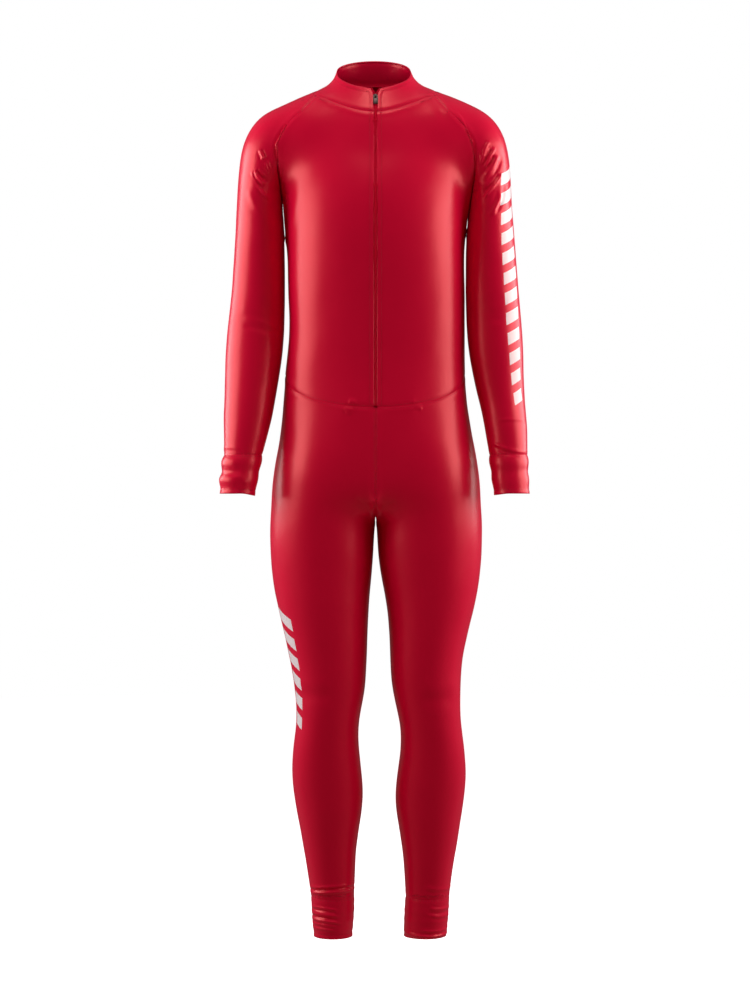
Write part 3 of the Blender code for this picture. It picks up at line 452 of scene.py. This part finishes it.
def new_material(name):
    """An empty material and its node tree."""
    material = bpy.data.materials.new(name)
    material.use_nodes = True
    material.node_tree.nodes.clear()
    return material, material.node_tree


def finish_surface(material, shader):
    """The shader goes to the material's output."""
    tree = material.node_tree
    add_node(tree, "ShaderNodeOutputMaterial", links=[("Surface", shader.outputs["BSDF"])])
    return material


def bars_of(tree, strip):
    """Where the slanted bars of the film are: they grow shorter down the strip."""

    def sum_of(operation, first, second=0.0):
        """The output of a node that works out one sum."""
        links = [(k, value) for k, value in enumerate((first, second)) if not isinstance(value, float)]
        node = add_node(tree, "ShaderNodeMath", links, operation=operation)
        for k, value in enumerate((first, second)):
            if isinstance(value, float):
                node.inputs[k].default_value = value
        return node.outputs[0]

    place = add_node(tree, "ShaderNodeAttribute", attribute_name="film").outputs["Vector"]
    split = add_node(tree, "ShaderNodeSeparateXYZ", [("Vector", place)])
    aside, down = split.outputs["X"], split.outputs["Y"]
    height = float(strip.top - strip.bottom)
    turns = sum_of("DIVIDE", sum_of("ADD", down, sum_of("MULTIPLY", aside, BAR_SLANT)), BAR_PITCH)
    inside = sum_of("LESS_THAN", sum_of("FRACT", turns), BAR_SHARE)
    shorter = sum_of("MULTIPLY", sum_of("FLOOR", turns), -BAR_TAPER * BAR_PITCH / height * strip.width / 2)
    reach = sum_of("ADD", shorter, strip.width / 2)
    across = sum_of("LESS_THAN", split.outputs["Z"], reach)
    below = sum_of("GREATER_THAN", turns, 0.0)
    within = sum_of("MULTIPLY", below, sum_of("LESS_THAN", turns, height // BAR_PITCH))
    return sum_of("MULTIPLY", sum_of("MULTIPLY", inside, across), within)


def knit_of(name, red, shadow_red, white, strip):
    """Calendered polyamide and elastane warp knit: hot pressing gives it a satin face with a red shine."""
    material, tree = new_material(name)
    place = add_node(tree, "ShaderNodeTexCoord").outputs["Object"]
    # The knit's wales stand 0.75 mm apart and its courses 0.6 mm. The real loops are under half a millimetre,
    # too fine for a picture, so these are coarser.
    wave = {"wave_type": "BANDS", "Distortion": 0.2}
    at = [("Vector", place)]
    wales = add_node(tree, "ShaderNodeTexWave", at, bands_direction="X", Scale=420, **wave)
    courses = add_node(tree, "ShaderNodeTexWave", at, bands_direction="Z", Scale=520, **wave)
    both = [(0, wales.outputs["Fac"]), (1, courses.outputs["Fac"])]
    loops = add_node(tree, "ShaderNodeMath", both, operation="MULTIPLY")
    wear = add_node(tree, "ShaderNodeTexNoise", at, Scale=22, Detail=3.0)
    both = [(0, loops.outputs[0]), (1, wear.outputs["Fac"])]
    depth = add_node(tree, "ShaderNodeMath", both, operation="MULTIPLY")
    # Where the loops dip, and where the wear noise is low, the knit is mixed toward the deep red: painted
    # shade in the hollows between the loops, with a random tone from the noise.
    colour = add_node(tree, "ShaderNodeMix", [(0, depth.outputs[0])], data_type="RGBA")
    colour.inputs[6].default_value = linear(shadow_red)
    colour.inputs[7].default_value = linear(red)
    base = colour.outputs[2]
    worn = [("Value", wear.outputs["Fac"])]
    rough_out = add_node(tree, "ShaderNodeMapRange", worn, To_Min=0.27, To_Max=0.33).outputs["Result"]
    if strip:
        over = add_node(tree, "ShaderNodeMix", [(0, bars_of(tree, strip)), (6, base)], data_type="RGBA")
        over.inputs[7].default_value = linear(white)
        base = over.outputs[2]
    bump = add_node(tree, "ShaderNodeBump", [("Height", loops.outputs[0])], Strength=0.12, Distance=0.0002)
    look = [("Base Color", base), ("Roughness", rough_out), ("Normal", bump.outputs["Normal"])]
    shader = add_node(tree, "ShaderNodeBsdfPrincipled", look)
    shader.inputs["IOR"].default_value = 1.7
    shader.inputs["Specular IOR Level"].default_value = 0.55
    shader.inputs["Specular Tint"].default_value = linear("#FF8A80")
    return finish_surface(material, shader)


def plain_of(name, colour, roughness, metallic=0.0, grain=900, lift=0.1, shade=0.8, gloss=0.5):
    """A one-colour finish with a fine grain in its tone, roughness and relief."""
    material, tree = new_material(name)
    place = add_node(tree, "ShaderNodeTexCoord").outputs["Object"]
    speckle = add_node(tree, "ShaderNodeTexNoise", [("Vector", place)], Scale=grain, Detail=2.0)
    tone = add_node(tree, "ShaderNodeMix", [(0, speckle.outputs["Fac"])], data_type="RGBA")
    tone.inputs[6].default_value = tuple(c * shade for c in linear(colour)[:3]) + (1.0,)
    tone.inputs[7].default_value = linear(colour)
    spread = {"To_Min": roughness - 0.06, "To_Max": roughness + 0.06}
    rough = add_node(tree, "ShaderNodeMapRange", [("Value", speckle.outputs["Fac"])], **spread)
    grains = [("Height", speckle.outputs["Fac"])]
    bump = add_node(tree, "ShaderNodeBump", grains, Strength=lift, Distance=0.0001)
    look = [
        ("Base Color", tone.outputs[2]),
        ("Roughness", rough.outputs["Result"]),
        ("Normal", bump.outputs["Normal"]),
    ]
    shader = add_node(tree, "ShaderNodeBsdfPrincipled", look)
    shader.inputs["Metallic"].default_value = metallic
    shader.inputs["Specular IOR Level"].default_value = gloss
    return finish_surface(material, shader)


def new_piece(name, shape, material, body=BODY):
    """A named object from a bmesh, riding on a body."""
    data = bpy.data.meshes.new(name)
    shape.to_mesh(data)
    shape.free()
    data.shade_smooth()
    data.materials.append(material)
    piece = bpy.data.objects.new(name, data)
    bpy.context.scene.collection.objects.link(piece)
    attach(piece, body)
    return piece


def islands(shape):
    """The separate sheets of a mesh, as lists of faces."""
    left = dict.fromkeys(shape.faces)
    while left:
        sheet, edge = [], [next(iter(left))]
        del left[edge[0]]
        while edge:
            face = edge.pop()
            sheet.append(face)
            for side in face.edges:
                for other in side.link_faces:
                    if other in left:
                        del left[other]
                        edge.append(other)
        yield sheet


def outer_sheet(node):
    """The outer face of a sewn piece's solid, as an open sheet of four-sided faces."""
    shape = bmesh.new()
    shape.from_mesh(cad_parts[node].data)
    bmesh.ops.remove_doubles(shape, verts=shape.verts, dist=WELD)
    bmesh.ops.recalc_face_normals(shape, faces=shape.faces)
    rims = [f for f in shape.faces if min(e.calc_length() for e in f.edges) < RIM]
    bmesh.ops.delete(shape, geom=rims, context="FACES")
    inner = min(islands(shape), key=lambda faces: sum(f.calc_area() for f in faces))
    bmesh.ops.delete(shape, geom=inner, context="FACES")
    bmesh.ops.join_triangles(
        shape, faces=shape.faces, angle_face_threshold=np.pi, angle_shape_threshold=np.pi, cmp_seam=False,
        cmp_sharp=False, cmp_uvs=False, cmp_vcols=False, cmp_materials=False,
    )
    return shape


def smoothed(name, shape, level):
    """The sheet subdivided, with its corners kept, as a new mesh."""
    crease = shape.verts.layers.float.new("crease_vert")
    for vert in shape.verts:
        rim = [e for e in vert.link_edges if e.is_boundary]
        if len(rim) == 2:
            first, second = (e.other_vert(vert).co - vert.co for e in rim)
            if np.pi - first.angle(second, 0.0) > np.radians(CORNER_TURN):
                vert[crease] = 1.0
    data = bpy.data.meshes.new(name)
    shape.to_mesh(data)
    shape.free()
    rough = bpy.data.objects.new(name, data)
    bpy.context.scene.collection.objects.link(rough)
    finer = rough.modifiers.new("finer", "SUBSURF")
    finer.levels = finer.render_levels = level
    finer.boundary_smooth = "PRESERVE_CORNERS"
    fine = bpy.data.meshes.new_from_object(rough.evaluated_get(bpy.context.evaluated_depsgraph_get()))
    bpy.data.objects.remove(rough)
    return fine


def soft_step(values, low, high):
    """0 below the low end, 1 above the high one, with a smooth run between."""
    share = np.clip((values - low) / (high - low), 0, 1)
    return share * share * (3 - 2 * share)


def creases_at(points, normals):
    """Each crease, with how far off it every point is in millimetres, and how fully it shows there."""
    for table, way in ((FRONT_CREASES, FRONTWARD), (BACK_CREASES, BACKWARD)):
        facing = soft_step(normals @ np.array(way), *FACING)
        for crease in table:
            start = np.array((crease.x, crease.z))
            run = np.array((crease.x_end, crease.z_end)) - start
            length = np.linalg.norm(run)
            run = run / length
            flat = points[:, (0, 2)] / MM - start
            share = flat @ run / length
            arch = np.clip(4 * share * (1 - share), 0, 1)
            off = flat @ np.array((-run[1], run[0])) - crease.bow * arch
            yield crease, off, facing * soft_step(arch, 0, CREASE_END)


def crease_heights(points, normals):
    """How far each point moves out for the creases that it lies in, in millimetres."""
    lift = np.zeros(len(points))
    for crease, off, shown in creases_at(points, normals):
        beside = (off + ECHO_AWAY * crease.width) / crease.width
        shape = np.exp(-((off / crease.width) ** 2)) - CREASE_ECHO * np.exp(-(beside**2))
        lift += shown * crease.height * shape
    return lift


def refine(shape):
    """Parts the faces along narrow creases until the creases' own shape shows."""
    for _ in range(REFINEMENTS):
        points, normals = vert_arrays(shape)
        shape.edges.index_update()
        need = np.full(len(points), np.inf)
        for crease, off, shown in creases_at(points, normals):
            reach = CREASE_REACH * crease.width
            near = (np.abs(off + crease.width / 2) < reach) & (shown > CREASE_SHOWN)
            need[near] = np.minimum(need[near], CREASE_SAMPLING * crease.width * MM)
        edges = {
            edge
            for face in shape.faces
            if max(e.calc_length() for e in face.edges) > min(need[v.index] for v in face.verts)
            for edge in face.edges
            if not edge.is_boundary
        }
        parted = sorted(edges, key=lambda edge: edge.index)
        bmesh.ops.subdivide_edges(shape, edges=parted, cuts=1, use_grid_fill=True)


def vert_arrays(shape):
    """The places and normals of a mesh's points, as rows."""
    shape.normal_update()
    shape.verts.index_update()
    return np.array([v.co for v in shape.verts]), np.array([v.normal for v in shape.verts])


def rim_runs(shape):
    """The rim of a sheet as runs of vertices."""
    left = dict.fromkeys(e for e in shape.edges if e.is_boundary)
    while left:
        edge = next(iter(left))
        del left[edge]
        run = [edge.verts[0], edge.verts[1]]
        growing = True
        while growing:
            growing = False
            for side in run[-1].link_edges:
                if side in left:
                    del left[side]
                    run.append(side.other_vert(run[-1]))
                    growing = True
                    break
        yield run


def sheets():
    """Every cloth piece's smooth sheet, and a tree of all their rim points with the piece of each."""
    if not SHEETS:
        level = bpy.context.scene.suit_cloth.level
        for node in CUTS:
            SHEETS[node] = smoothed(node + "_cloth", outer_sheet(node), level - (node in SMALL_PIECES))
        rims = []
        for node, sheet in SHEETS.items():
            shape = bmesh.new()
            shape.from_mesh(sheet)
            rims += [(vert.co.copy(), node) for vert in shape.verts if vert.is_boundary]
            shape.free()
        tree = kdtree.KDTree(len(rims))
        for k, (place, _) in enumerate(rims):
            tree.insert(place, k)
        tree.balance()
        SHEETS["rims"] = (tree, [node for _, node in rims])
    return SHEETS


def neighbour_at(point, node):
    """The piece that is sewn on at a rim point, or nothing at a hem."""
    tree, owners = SHEETS["rims"]
    near = [(far, owners[k]) for _, k, far in tree.find_range(point, SEWN_WITHIN) if owners[k] != node]
    return min(near)[1] if near else None


def film_places(points, strip):
    """Each point of a limb in the strip's own measures: round the limb from the strip's middle, down from its
    top, and the first without its sign. Without it the first has no jump at the far side of the limb."""
    place = points / MM
    heights = place[:, 2]
    levels = np.arange(strip.bottom - SLICE / 2, strip.top + SLICE / 2, SLICE)
    spans = [place[np.abs(heights - level) < SLICE / 2, :2] for level in levels]
    middles = np.array([(span.min(0) + span.max(0)) / 2 for span in spans])
    sizes = np.array([np.ptp(span, axis=0).mean() / 2 for span in spans])
    fits = [np.polyfit(levels, row, LINE_DEGREE) for row in (*middles.T, sizes)]
    fitted = np.stack([np.polyval(fit, heights) for fit in fits], axis=1)
    middle, size = fitted[:, :2], fitted[:, 2:]
    out = place[:, :2] - middle
    side = 1 if strip.node.endswith("left") else -1
    angle = np.arctan2(side * out[:, 0], -out[:, 1])
    turn = (angle - np.radians(strip.angle) + np.pi) % (2 * np.pi) - np.pi
    aside = turn * size[:, 0]
    return np.stack((aside, strip.top - heights, np.abs(aside)), axis=1)


def far_from(places, points):
    """How far each point is from the nearest of some places, and which place that is."""
    tree = kdtree.KDTree(len(places))
    for k, place in enumerate(places):
        tree.insert(place, k)
    tree.balance()
    found = [tree.find(p)[1:] for p in points]
    return np.array([far for _, far in found]), [k for k, _ in found]


def make_cloth(node, material):
    """A thin shell of cloth on its solid's outer face, with its seams, hems and creases."""
    settings = bpy.context.scene.suit_cloth
    shape = bmesh.new()
    shape.from_mesh(sheets()[node])
    shape.verts.layers.int.new("rim")
    refine(shape)
    points, normals = vert_arrays(shape)
    joined = {vert: neighbour_at(vert.co, node) for vert in shape.verts if vert.is_boundary}
    seams = [vert.co.copy() for vert, other in joined.items() if other]
    smooth = [node in SMOOTH_SEAMS or other in SMOOTH_SEAMS for other in joined.values() if other]
    hems = [vert.co.copy() for vert, other in joined.items() if not other]
    broad = np.array([noise.noise(Vector(p) * WAVES) for p in points])
    fine = np.array([noise.noise(Vector(p) * FINE_WAVES) for p in points])
    waves = broad + FINE_WAVE_SHARE * fine
    lift = crease_heights(points, normals) * MM + settings.unevenness * waves
    if seams:
        far, nearest = far_from(seams, points)
        groove = np.where([smooth[k] for k in nearest], settings.smooth_groove, settings.groove)
        lift *= soft_step(far, 0, SEAM_CALM)
        lift -= groove * (1 - soft_step(far, 0, settings.groove_width))
        beside = (far - SWELL_AWAY * settings.groove_width) / settings.groove_width
        lift += SWELL * groove * np.exp(-(beside**2))
    if hems:
        far, _ = far_from(hems, points)
        lift += settings.hem * (1 - soft_step(far, HEM_EDGE * settings.hem_width, settings.hem_width))
        lift -= HEM_LINE * settings.hem * np.exp(-(((far - settings.hem_width) / HEM_LINE_WIDTH) ** 2))
    moved = points + normals * lift[:, None]
    for dip in DIPS:
        if dip.node == node:
            aside = dip.side * (moved[:, 0] - moved[:, 0].mean()) / np.ptp(moved[:, 0])
            low = 1 - soft_step(moved[:, 2] - moved[:, 2].min(), 0, DIP_HEIGHT)
            moved[:, 2] -= dip.depth * MM * low * soft_step(aside, *DIP_ASIDE)
    for vert, place in zip(shape.verts, moved):
        vert.co = place
    shape.normal_update()
    LINES[node] = stitch_lines(shape, joined)
    close_seams(shape, node, joined)
    piece = new_piece(node + "_cloth", shape, material)
    for strip in STRIPS:
        if strip.node == node:
            places = np.array([v.co for v in piece.data.vertices])
            film = piece.data.attributes.new("film", "FLOAT_VECTOR", "POINT")
            film.data.foreach_set("vector", film_places(places, strip).ravel())
    shell = piece.modifiers.new("cloth", "SOLIDIFY")
    shell.thickness = settings.wall
    shell.offset = -1
    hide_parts(node)


def inward(vert):
    """The direction from a rim point into its sheet."""
    way = sum((e.other_vert(vert).co - vert.co for e in vert.link_edges if not e.is_boundary), Vector())
    way -= way.dot(vert.normal) * vert.normal
    return way.normalized()


def close_seams(shape, node, joined):
    """The rims meet on the line of the seam, and one of two has its allowance folded in behind it."""
    settings = bpy.context.scene.suit_cloth
    order = list(CUTS)
    ways = {vert: inward(vert) for vert in joined}
    outs = {vert: vert.normal.copy() for vert in joined}
    for vert, other in joined.items():
        if other:
            vert.co -= ways[vert] * settings.meet
            for edge in vert.link_edges:
                edge.smooth = not edge.is_boundary
    under = {vert for vert, other in joined.items() if not other or order.index(other) > order.index(node)}
    edges = [e for e in shape.edges if e.is_boundary and all(v in under for v in e.verts)]
    if not edges:
        return
    mark = shape.verts.layers.int["rim"]
    place = []
    for vert in joined:
        vert[mark] = len(place)
        place.append((ways[vert], outs[vert], -1 if joined[vert] else 1))
    for down, across in ((settings.tuck_depth, 0), (0, settings.tuck_width)):
        new = bmesh.ops.extrude_edge_only(shape, edges=edges)["geom"]
        edges = [item for item in new if isinstance(item, bmesh.types.BMEdge)]
        for vert in (item for item in new if isinstance(item, bmesh.types.BMVert)):
            way, out, side = place[vert[mark]]
            vert.co += way * side * across - out * down


def stitch_lines(shape, joined):
    """Lines of points and their normals beside the seams and hems of a sheet."""
    settings = bpy.context.scene.suit_sewing
    lines = []
    for run in rim_runs(shape):
        line = []
        for vert in run:
            margin = settings.margin if joined[vert] else settings.hem_margin
            line.append((vert.co + inward(vert) * margin, vert.normal.copy()))
        lines.append(line)
    return lines


def make_stitches(name, lines, material):
    """Every stitch of the seams and hems, as small pads of thread on the cloth."""
    settings = bpy.context.scene.suit_sewing
    shape = bmesh.new()
    for line in lines:
        reach = 0.0
        for (start, out), (end, _) in zip(line, line[1:]):
            length = (end - start).length
            if length > STITCH_GAP or length < NO_LENGTH:
                continue
            along = (end - start) / length
            while reach < length:
                aside = out.cross(along).normalized()
                turn = Matrix((along, aside, along.cross(aside))).transposed().to_4x4()
                size = Matrix.Diagonal((settings.stitch / 2, settings.thread / 2, settings.thread / 2, 1))
                middle = start + along * reach
                bmesh.ops.create_icosphere(
                    shape, subdivisions=1, radius=1, matrix=Matrix.Translation(middle) @ turn @ size
                )
                reach += settings.pitch
            reach -= length
    new_piece(name, shape, material)


class SUIT_OT_panels(bpy.types.Operator):
    """Makes the front and back panels"""

    bl_idname = "suit.panels"
    bl_label = "Front and back panels"

    def execute(self, context):
        make_group(("front_right", "front_left", "back"))
        return {"FINISHED"}


class SUIT_OT_sleeves(bpy.types.Operator):
    """Makes the sleeves"""

    bl_idname = "suit.sleeves"
    bl_label = "Sleeves"

    def execute(self, context):
        make_group(("sleeve_right", "sleeve_left"))
        return {"FINISHED"}


class SUIT_OT_legs(bpy.types.Operator):
    """Makes the legs"""

    bl_idname = "suit.legs"
    bl_label = "Legs"

    def execute(self, context):
        make_group(("leg_right", "leg_left"))
        return {"FINISHED"}


class SUIT_OT_bands(bpy.types.Operator):
    """Makes the collar, the wrist cuffs and the ankle bands"""

    bl_idname = "suit.bands"
    bl_label = "Collar, cuffs and ankle bands"

    def execute(self, context):
        make_group(("collar", "cuff_right", "cuff_left", "ankle_band_right", "ankle_band_left"))
        return {"FINISHED"}


def make_group(nodes):
    """Pieces of cloth, each with its stitch lines kept for the sewing."""
    settings = bpy.context.scene.suit_cloth
    filmed = {strip.node: strip for strip in STRIPS}
    for node in nodes:
        strip = filmed.get(node)
        name = "warp_knit_with_pressed_film_" + node if strip else "calendered_warp_knit"
        material = bpy.data.materials.get(name)
        if not material:
            material = knit_of(name, settings.red, settings.shadow_red, settings.white, strip)
        make_cloth(node, material)


class SUIT_OT_sewing(bpy.types.Operator):
    """Sews the stitches beside the seams and hems"""

    bl_idname = "suit.sewing"
    bl_label = "Stitches"

    def execute(self, context):
        # Twisted thread is a darker red than the cloth and a little duller, so that seams show as fine rows.
        thread = plain_of("twisted_polyester_thread", context.scene.suit_sewing.colour, 0.45, grain=2500)
        groups = {
            "stitches_top": ("front_right", "front_left", "back", "collar"),
            "stitches_arms": ("sleeve_right", "sleeve_left", "cuff_right", "cuff_left"),
            "stitches_legs": ("leg_right", "leg_left", "ankle_band_right", "ankle_band_left"),
        }
        for name, nodes in groups.items():
            make_stitches(name, [line for node in nodes for line in LINES[node]], thread)
        return {"FINISHED"}


class SUIT_OT_zip(bpy.types.Operator):
    """Makes the zip's tapes and teeth"""

    bl_idname = "suit.zip"
    bl_label = "Zip"

    def execute(self, context):
        settings = context.scene.suit_zip
        # The woven tape is dull and grainy, and the moulded coil on it is smoother. Neither shines much.
        tape = plain_of("woven_polyester_tape", settings.tape, 0.7, grain=1600, lift=0.3, gloss=0.08)
        teeth = plain_of("moulded_nylon_coil", settings.teeth, 0.5, grain=1200, gloss=0.08)
        for node, side in (("zip_right", -1), ("zip_left", 1)):
            shape = bmesh.new()
            shape.from_mesh(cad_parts[node].data)
            bmesh.ops.remove_doubles(shape, verts=shape.verts, dist=WELD)
            length = max(v.co.z for v in shape.verts) - min(v.co.z for v in shape.verts)
            line = coil_line(shape)
            half = new_piece(node + "_tape", shape, tape)
            half.data.shade_flat()
            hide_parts(node)
            make_teeth(node + "_teeth", line, side, teeth, settings)
        return {"FINISHED"}


def coil_line(shape):
    """Points down the front of a zip half's inner edge, one for each row of its solid."""
    rows = []
    for vert in sorted(shape.verts, key=lambda v: -v.co.z):
        if not rows or rows[-1][-1].z - vert.co.z > ROW_GAP:
            rows.append([])
        rows[-1].append(vert.co.copy())
    line = []
    for row in rows:
        edge = min(abs(p.x) for p in row)
        line.append(min((p for p in row if abs(p.x) < edge + EDGE_DEPTH * MM), key=lambda p: p.y))
    return line


def make_teeth(name, line, side, material, settings):
    """The turns of the coil, which reach past the middle between those of the other half."""
    shape = bmesh.new()
    pitch = settings.tooth_pitch
    size = Matrix.Diagonal((settings.tooth / 2, TOOTH_DEPTH * settings.tooth, TOOTH_HEIGHT * pitch, 1))
    inset = Vector((side * settings.tooth / 4, 0, 0))
    reach = pitch / 2 if side > 0 else 0.0
    for start, end in zip(line, line[1:]):
        run = end - start
        while reach < run.length:
            place = Matrix.Translation(start + run * (reach / run.length) + inset)
            bmesh.ops.create_icosphere(shape, subdivisions=2, radius=1, matrix=place @ size)
            reach += pitch
        reach -= run.length
    new_piece(name, shape, material)


class SUIT_OT_slider(bpy.types.Operator):
    """Makes the zip's slider and its pull tab"""

    bl_idname = "suit.slider"
    bl_label = "Slider and tab"

    def execute(self, context):
        # Lacquered zinc keeps the shine of metal under a dark brown coat.
        colour = context.scene.suit_zip.metal
        metal = plain_of("die_cast_zinc_lacquered", colour, 0.36, metallic=0.9, grain=700, lift=0.04)
        for node, body in (("zip_slider", BODY), ("zip_pull_tab", "pull_tab")):
            shape = bmesh.new()
            shape.from_mesh(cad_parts[node].data)
            bmesh.ops.remove_doubles(shape, verts=shape.verts, dist=WELD)
            bmesh.ops.dissolve_limit(
                shape,
                angle_limit=np.radians(2),
                verts=shape.verts,
                edges=shape.edges,
                use_dissolve_boundaries=False,
                delimit={"NORMAL"},
            )
            piece = new_piece(node + "_metal", shape, metal, body)
            edges = piece.modifiers.new("cast edges", "BEVEL")
            edges.width = 0.00022
            edges.segments = 3
            edges.limit_method = "ANGLE"
            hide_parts(node)
        return {"FINISHED"}


class SUIT_OT_stage(bpy.types.Operator):
    """Sets up the camera, the floor and the lights"""

    bl_idname = "suit.stage"
    bl_label = "Camera, floor and light"

    def execute(self, context):
        settings = context.scene.suit_stage
        scene = context.scene
        eye = bpy.data.cameras.new("photo_view")
        eye.sensor_fit = "VERTICAL"
        eye.sensor_height = SENSOR
        eye.lens = SENSOR * settings.distance / settings.frame_height
        camera = bpy.data.objects.new("photo_view", eye)
        camera.location = (VIEW_ASIDE, -settings.distance, settings.height)
        camera.rotation_euler = (np.pi / 2, 0, 0)
        scene.collection.objects.link(camera)
        scene.camera = camera

        world = bpy.data.worlds.new("paper_white")
        world.use_nodes = True
        tree = world.node_tree
        sky = tree.nodes["Background"]
        seen = add_node(tree, "ShaderNodeLightPath").outputs["Is Camera Ray"]
        # The backdrop is paper white to the camera. The room's own light is a pale warm red.
        tint = add_node(tree, "ShaderNodeMix", [(0, seen)], data_type="RGBA")
        tint.inputs[6].default_value = linear(settings.room)
        tint.inputs[7].default_value = linear(settings.paper)
        tree.links.new(tint.outputs[2], sky.inputs["Color"])
        # The room is dim before and behind the suit, where the photographer stands, and light to its sides.
        place = add_node(tree, "ShaderNodeTexCoord").outputs["Generated"]
        way = add_node(tree, "ShaderNodeSeparateXYZ", [("Vector", place)])
        depth = add_node(tree, "ShaderNodeMath", [(0, way.outputs["Y"])], operation="ABSOLUTE")
        turn = {"From_Min": 0.45, "From_Max": 0.9, "To_Min": settings.fill, "To_Max": settings.dim}
        room = add_node(tree, "ShaderNodeMapRange", [("Value", depth.outputs[0])], **turn)
        ends = [("Value", seen), ("To Min", room.outputs["Result"])]
        strength = add_node(tree, "ShaderNodeMapRange", ends, To_Max=1.0)
        tree.links.new(strength.outputs["Result"], sky.inputs["Strength"])
        scene.world = world
        scene.view_settings.view_transform = "Standard"

        paper = plain_of("matt_paper", settings.paper, 0.9, grain=60, lift=0.0, shade=1.0)
        shader = paper.node_tree.nodes["Principled BSDF"]
        shader.inputs["Emission Color"].default_value = linear(settings.paper)
        shader.inputs["Emission Strength"].default_value = 0.85
        floor = bmesh.new()
        level = Matrix.Translation((0, 0, FLOOR_HEIGHT))
        bmesh.ops.create_circle(floor, cap_ends=True, segments=96, radius=FLOOR_RADIUS, matrix=level)
        data = bpy.data.meshes.new("floor")
        floor.to_mesh(data)
        floor.free()
        data.materials.append(paper)
        ground = bpy.data.objects.new("floor", data)
        scene.collection.objects.link(ground)
        ground.visible_glossy = ground.visible_diffuse = False

        lamps = (
            ("side_box_left", (1.6, 0.1, -0.08), (2.1, 1.15), settings.side_light),
            ("side_box_right", (-1.6, 0.1, -0.08), (2.1, 1.15), settings.side_light),
            ("top_box", (0, -0.2, 1.7), (1.2, 1.2), settings.top_light),
            ("neck_box", (0, -0.38, 0.47), (0.25, 0.25), settings.neck_light),
        )
        for name, place, size, power in lamps:
            lamp = bpy.data.lights.new(name, "AREA")
            lamp.shape = "RECTANGLE"
            lamp.size, lamp.size_y = size
            lamp.energy = power
            box = bpy.data.objects.new(name, lamp)
            box.location = place
            target = Vector((0, place[1], place[2])) if place[0] else Vector()
            box.rotation_euler = (target - Vector(place)).to_track_quat("-Z", "Y").to_euler()
            scene.collection.objects.link(box)
        return {"FINISHED"}


STEPS = (
    SUIT_OT_panels,
    SUIT_OT_sleeves,
    SUIT_OT_legs,
    SUIT_OT_bands,
    SUIT_OT_sewing,
    SUIT_OT_zip,
    SUIT_OT_slider,
    SUIT_OT_stage,
)


class SUIT_PT_steps(bpy.types.Panel):
    """Lists the steps that make the suit"""

    bl_label = "Race suit"
    bl_idname = "SUIT_PT_steps"
    bl_space_type = "VIEW_3D"
    bl_region_type = "UI"
    bl_category = "Race suit"

    def draw(self, context):
        for step in STEPS:
            self.layout.operator(step.bl_idname)


SETTINGS = {
    "suit_cloth": ClothSettings,
    "suit_sewing": SewingSettings,
    "suit_zip": ZipSettings,
    "suit_stage": StageSettings,
}


def register():
    for kind in (*SETTINGS.values(), *STEPS, SUIT_PT_steps):
        bpy.utils.register_class(kind)
    for name, kind in SETTINGS.items():
        setattr(bpy.types.Scene, name, bpy.props.PointerProperty(type=kind))


def unregister():
    for name in SETTINGS:
        delattr(bpy.types.Scene, name)
    for kind in (SUIT_PT_steps, *reversed(STEPS), *reversed(SETTINGS.values())):
        bpy.utils.unregister_class(kind)


def main():
    register()
    for step in STEPS:
        group, name = step.bl_idname.split(".")
        getattr(getattr(bpy.ops, group), name)()


if __name__ == "__main__":
    main()
